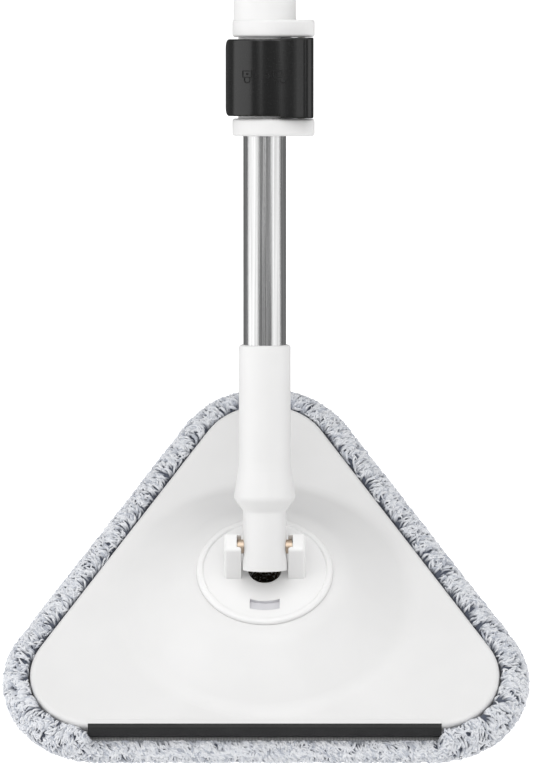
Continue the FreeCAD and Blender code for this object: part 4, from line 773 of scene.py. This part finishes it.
def lever_pictograms(material):
    """Shut padlock, dot, arrow and open padlock, raised on the lever's face."""
    shapes = padlock(-9.05, 0.0, 0.1)
    shapes.append(stroke(arc_path(-3.9, 0.8, 0.25, 0, 330, 9), DOT_LINE, closed=True))
    shapes.append(stroke([(-0.3, 0.8), (1.1, 0.8), (2.7, 0.8)], ARROW_LINE))
    shapes.append(stroke([(1.4, 2.0), (2.8, 0.8), (1.4, -0.4)], ARROW_LINE))
    shapes += padlock(6.6, 2.6, -0.6)
    points, faces = [], []
    for shape_points, shape_faces in shapes:
        start = len(points)
        points.extend(shape_points)
        faces.extend(tuple(start + corner for corner in face) for face in shape_faces)
    marks = mesh_object("lever_pictograms", points, faces, smooth=False)
    finish_piece(marks, "lever", material)


# ---------- stage ----------

FLOOR_LEVEL = -0.45              # below the lowest pose of the head, so that no pose sinks into it
FLOOR_REACH = 14.0
SIDE_BOX_DISTANCE = 1.5
SIDE_BOX_HEIGHT = 1.6
TOP_BOX_DISTANCE = 2.2
TOP_BOX_SIZE = (2.4, 2.4)
TOP_BOX_POWER = 33.4
LIT_MIDDLE = 0.16                # the side lights aim at the handle this far above the hinge
SURROUND_BEHIND = 0.22           # the world's strength behind the handle
SURROUND_FRONT = 0.325           # and in front of it


def floor():
    corners = [(x * FLOOR_REACH, y * FLOOR_REACH, FLOOR_LEVEL)
               for x, y in ((-1, -1), (1, -1), (1, 1), (-1, 1))]
    ground = mesh_object("floor", corners, [(0, 1, 2, 3)], smooth=False)
    shader = Shader("floor_paper")
    paper = shader.noise(3.0, 3.0)
    shader.colour(shader.tones(paper, grey(0.93), grey(0.95)))
    shader.set(Roughness=1.0, Emission_Color=(1, 1, 1, 1), Emission_Strength=0.6)
    shader.surface.inputs["Specular IOR Level"].default_value = 0.0
    ground.data.materials.append(shader.material)
    ground.visible_glossy = False


def softbox(name, direction, distance, size, power, target):
    light = bpy.data.lights.new(name, "AREA")
    light.shape = "RECTANGLE"
    light.size, light.size_y = size
    light.energy = power
    lamp = bpy.data.objects.new(name, light)
    bpy.context.scene.collection.objects.link(lamp)
    away = Vector(direction).normalized()
    lamp.location = Vector(target) + away * distance
    lamp.rotation_euler = away.to_track_quat("Z", "Y").to_euler()


def studio_world():
    """A dim surround, lighter in front of the handle than behind it."""
    world = bpy.data.worlds.new("studio")
    world.use_nodes = True
    tree = world.node_tree
    direction = tree.nodes.new("ShaderNodeTexCoord")
    facing = tree.nodes.new("ShaderNodeVectorMath")
    facing.operation = "DOT_PRODUCT"
    facing.inputs[1].default_value = FRONT
    level = tree.nodes.new("ShaderNodeMapRange")
    level.inputs["From Min"].default_value = -1.0
    level.inputs["From Max"].default_value = 0.6
    level.inputs["To Min"].default_value = SURROUND_BEHIND
    level.inputs["To Max"].default_value = SURROUND_FRONT
    background = tree.nodes["Background"]
    background.inputs["Color"].default_value = (0.99, 0.995, 1.0, 1)
    tree.links.new(direction.outputs["Generated"], facing.inputs[0])
    tree.links.new(facing.outputs["Value"], level.inputs["Value"])
    tree.links.new(level.outputs["Result"], background.inputs["Strength"])
    bpy.context.scene.world = world


def studio():
    """Two tall side softboxes that draw the bands on the tube and a large top light."""
    handle_middle = HINGE + ALONG * LIT_MIDDLE
    for name, sign, degrees, width, power in (("softbox_left", -1, 66, 1.5, 9.9),
                                              ("softbox_right", 1, 61, 1.15, 6.7)):
        turn = math.radians(degrees)
        direction = FRONT * math.cos(turn) + ACROSS * sign * math.sin(turn)
        softbox(name, direction, SIDE_BOX_DISTANCE, (width, SIDE_BOX_HEIGHT), power, handle_middle)
    softbox("softbox_top", (-0.05, -0.05, 1.0), TOP_BOX_DISTANCE, TOP_BOX_SIZE, TOP_BOX_POWER, (0, 0, 0))
    studio_world()
    bpy.context.scene.view_settings.view_transform = "Standard"


CAMERA_DISTANCE = 2.45
SIGHT_ELEVATION = 51.0           # from the plate's centre up to the camera, in degrees
AXIS_ELEVATION = 48.42           # the lens axis above the horizon
PLATE_LEVEL = 20 * MM
LENS = 219.7
SENSOR_WIDTH = 36.0
VIEW_END = 50.0
CAMERA_SIDE = 0.9 * MM


def camera():
    data = bpy.data.cameras.new("camera")
    data.lens = LENS
    data.sensor_width = SENSOR_WIDTH
    data.clip_end = VIEW_END
    view = bpy.data.objects.new("camera", data)
    bpy.context.scene.collection.objects.link(view)
    sight = math.radians(SIGHT_ELEVATION)
    view.location = (CAMERA_SIDE, -CAMERA_DISTANCE * math.cos(sight),
                     PLATE_LEVEL + CAMERA_DISTANCE * math.sin(sight))
    view.rotation_euler = (math.radians(90 - AXIS_ELEVATION), 0, 0)
    bpy.context.scene.camera = view


def build():
    random = np.random.RandomState(RANDOM_SEED)
    materials = finishes()
    dress_nodes(materials)
    pad_core(materials["chenille_pile"])
    pile_border(materials["chenille_pile"], random)
    pile_underside(materials["chenille_pile"], random)
    lever_pictograms(rubber("raised_black", grey(0.004), grey(0.002), 0.7))
    floor()
    studio()
    camera()


build()
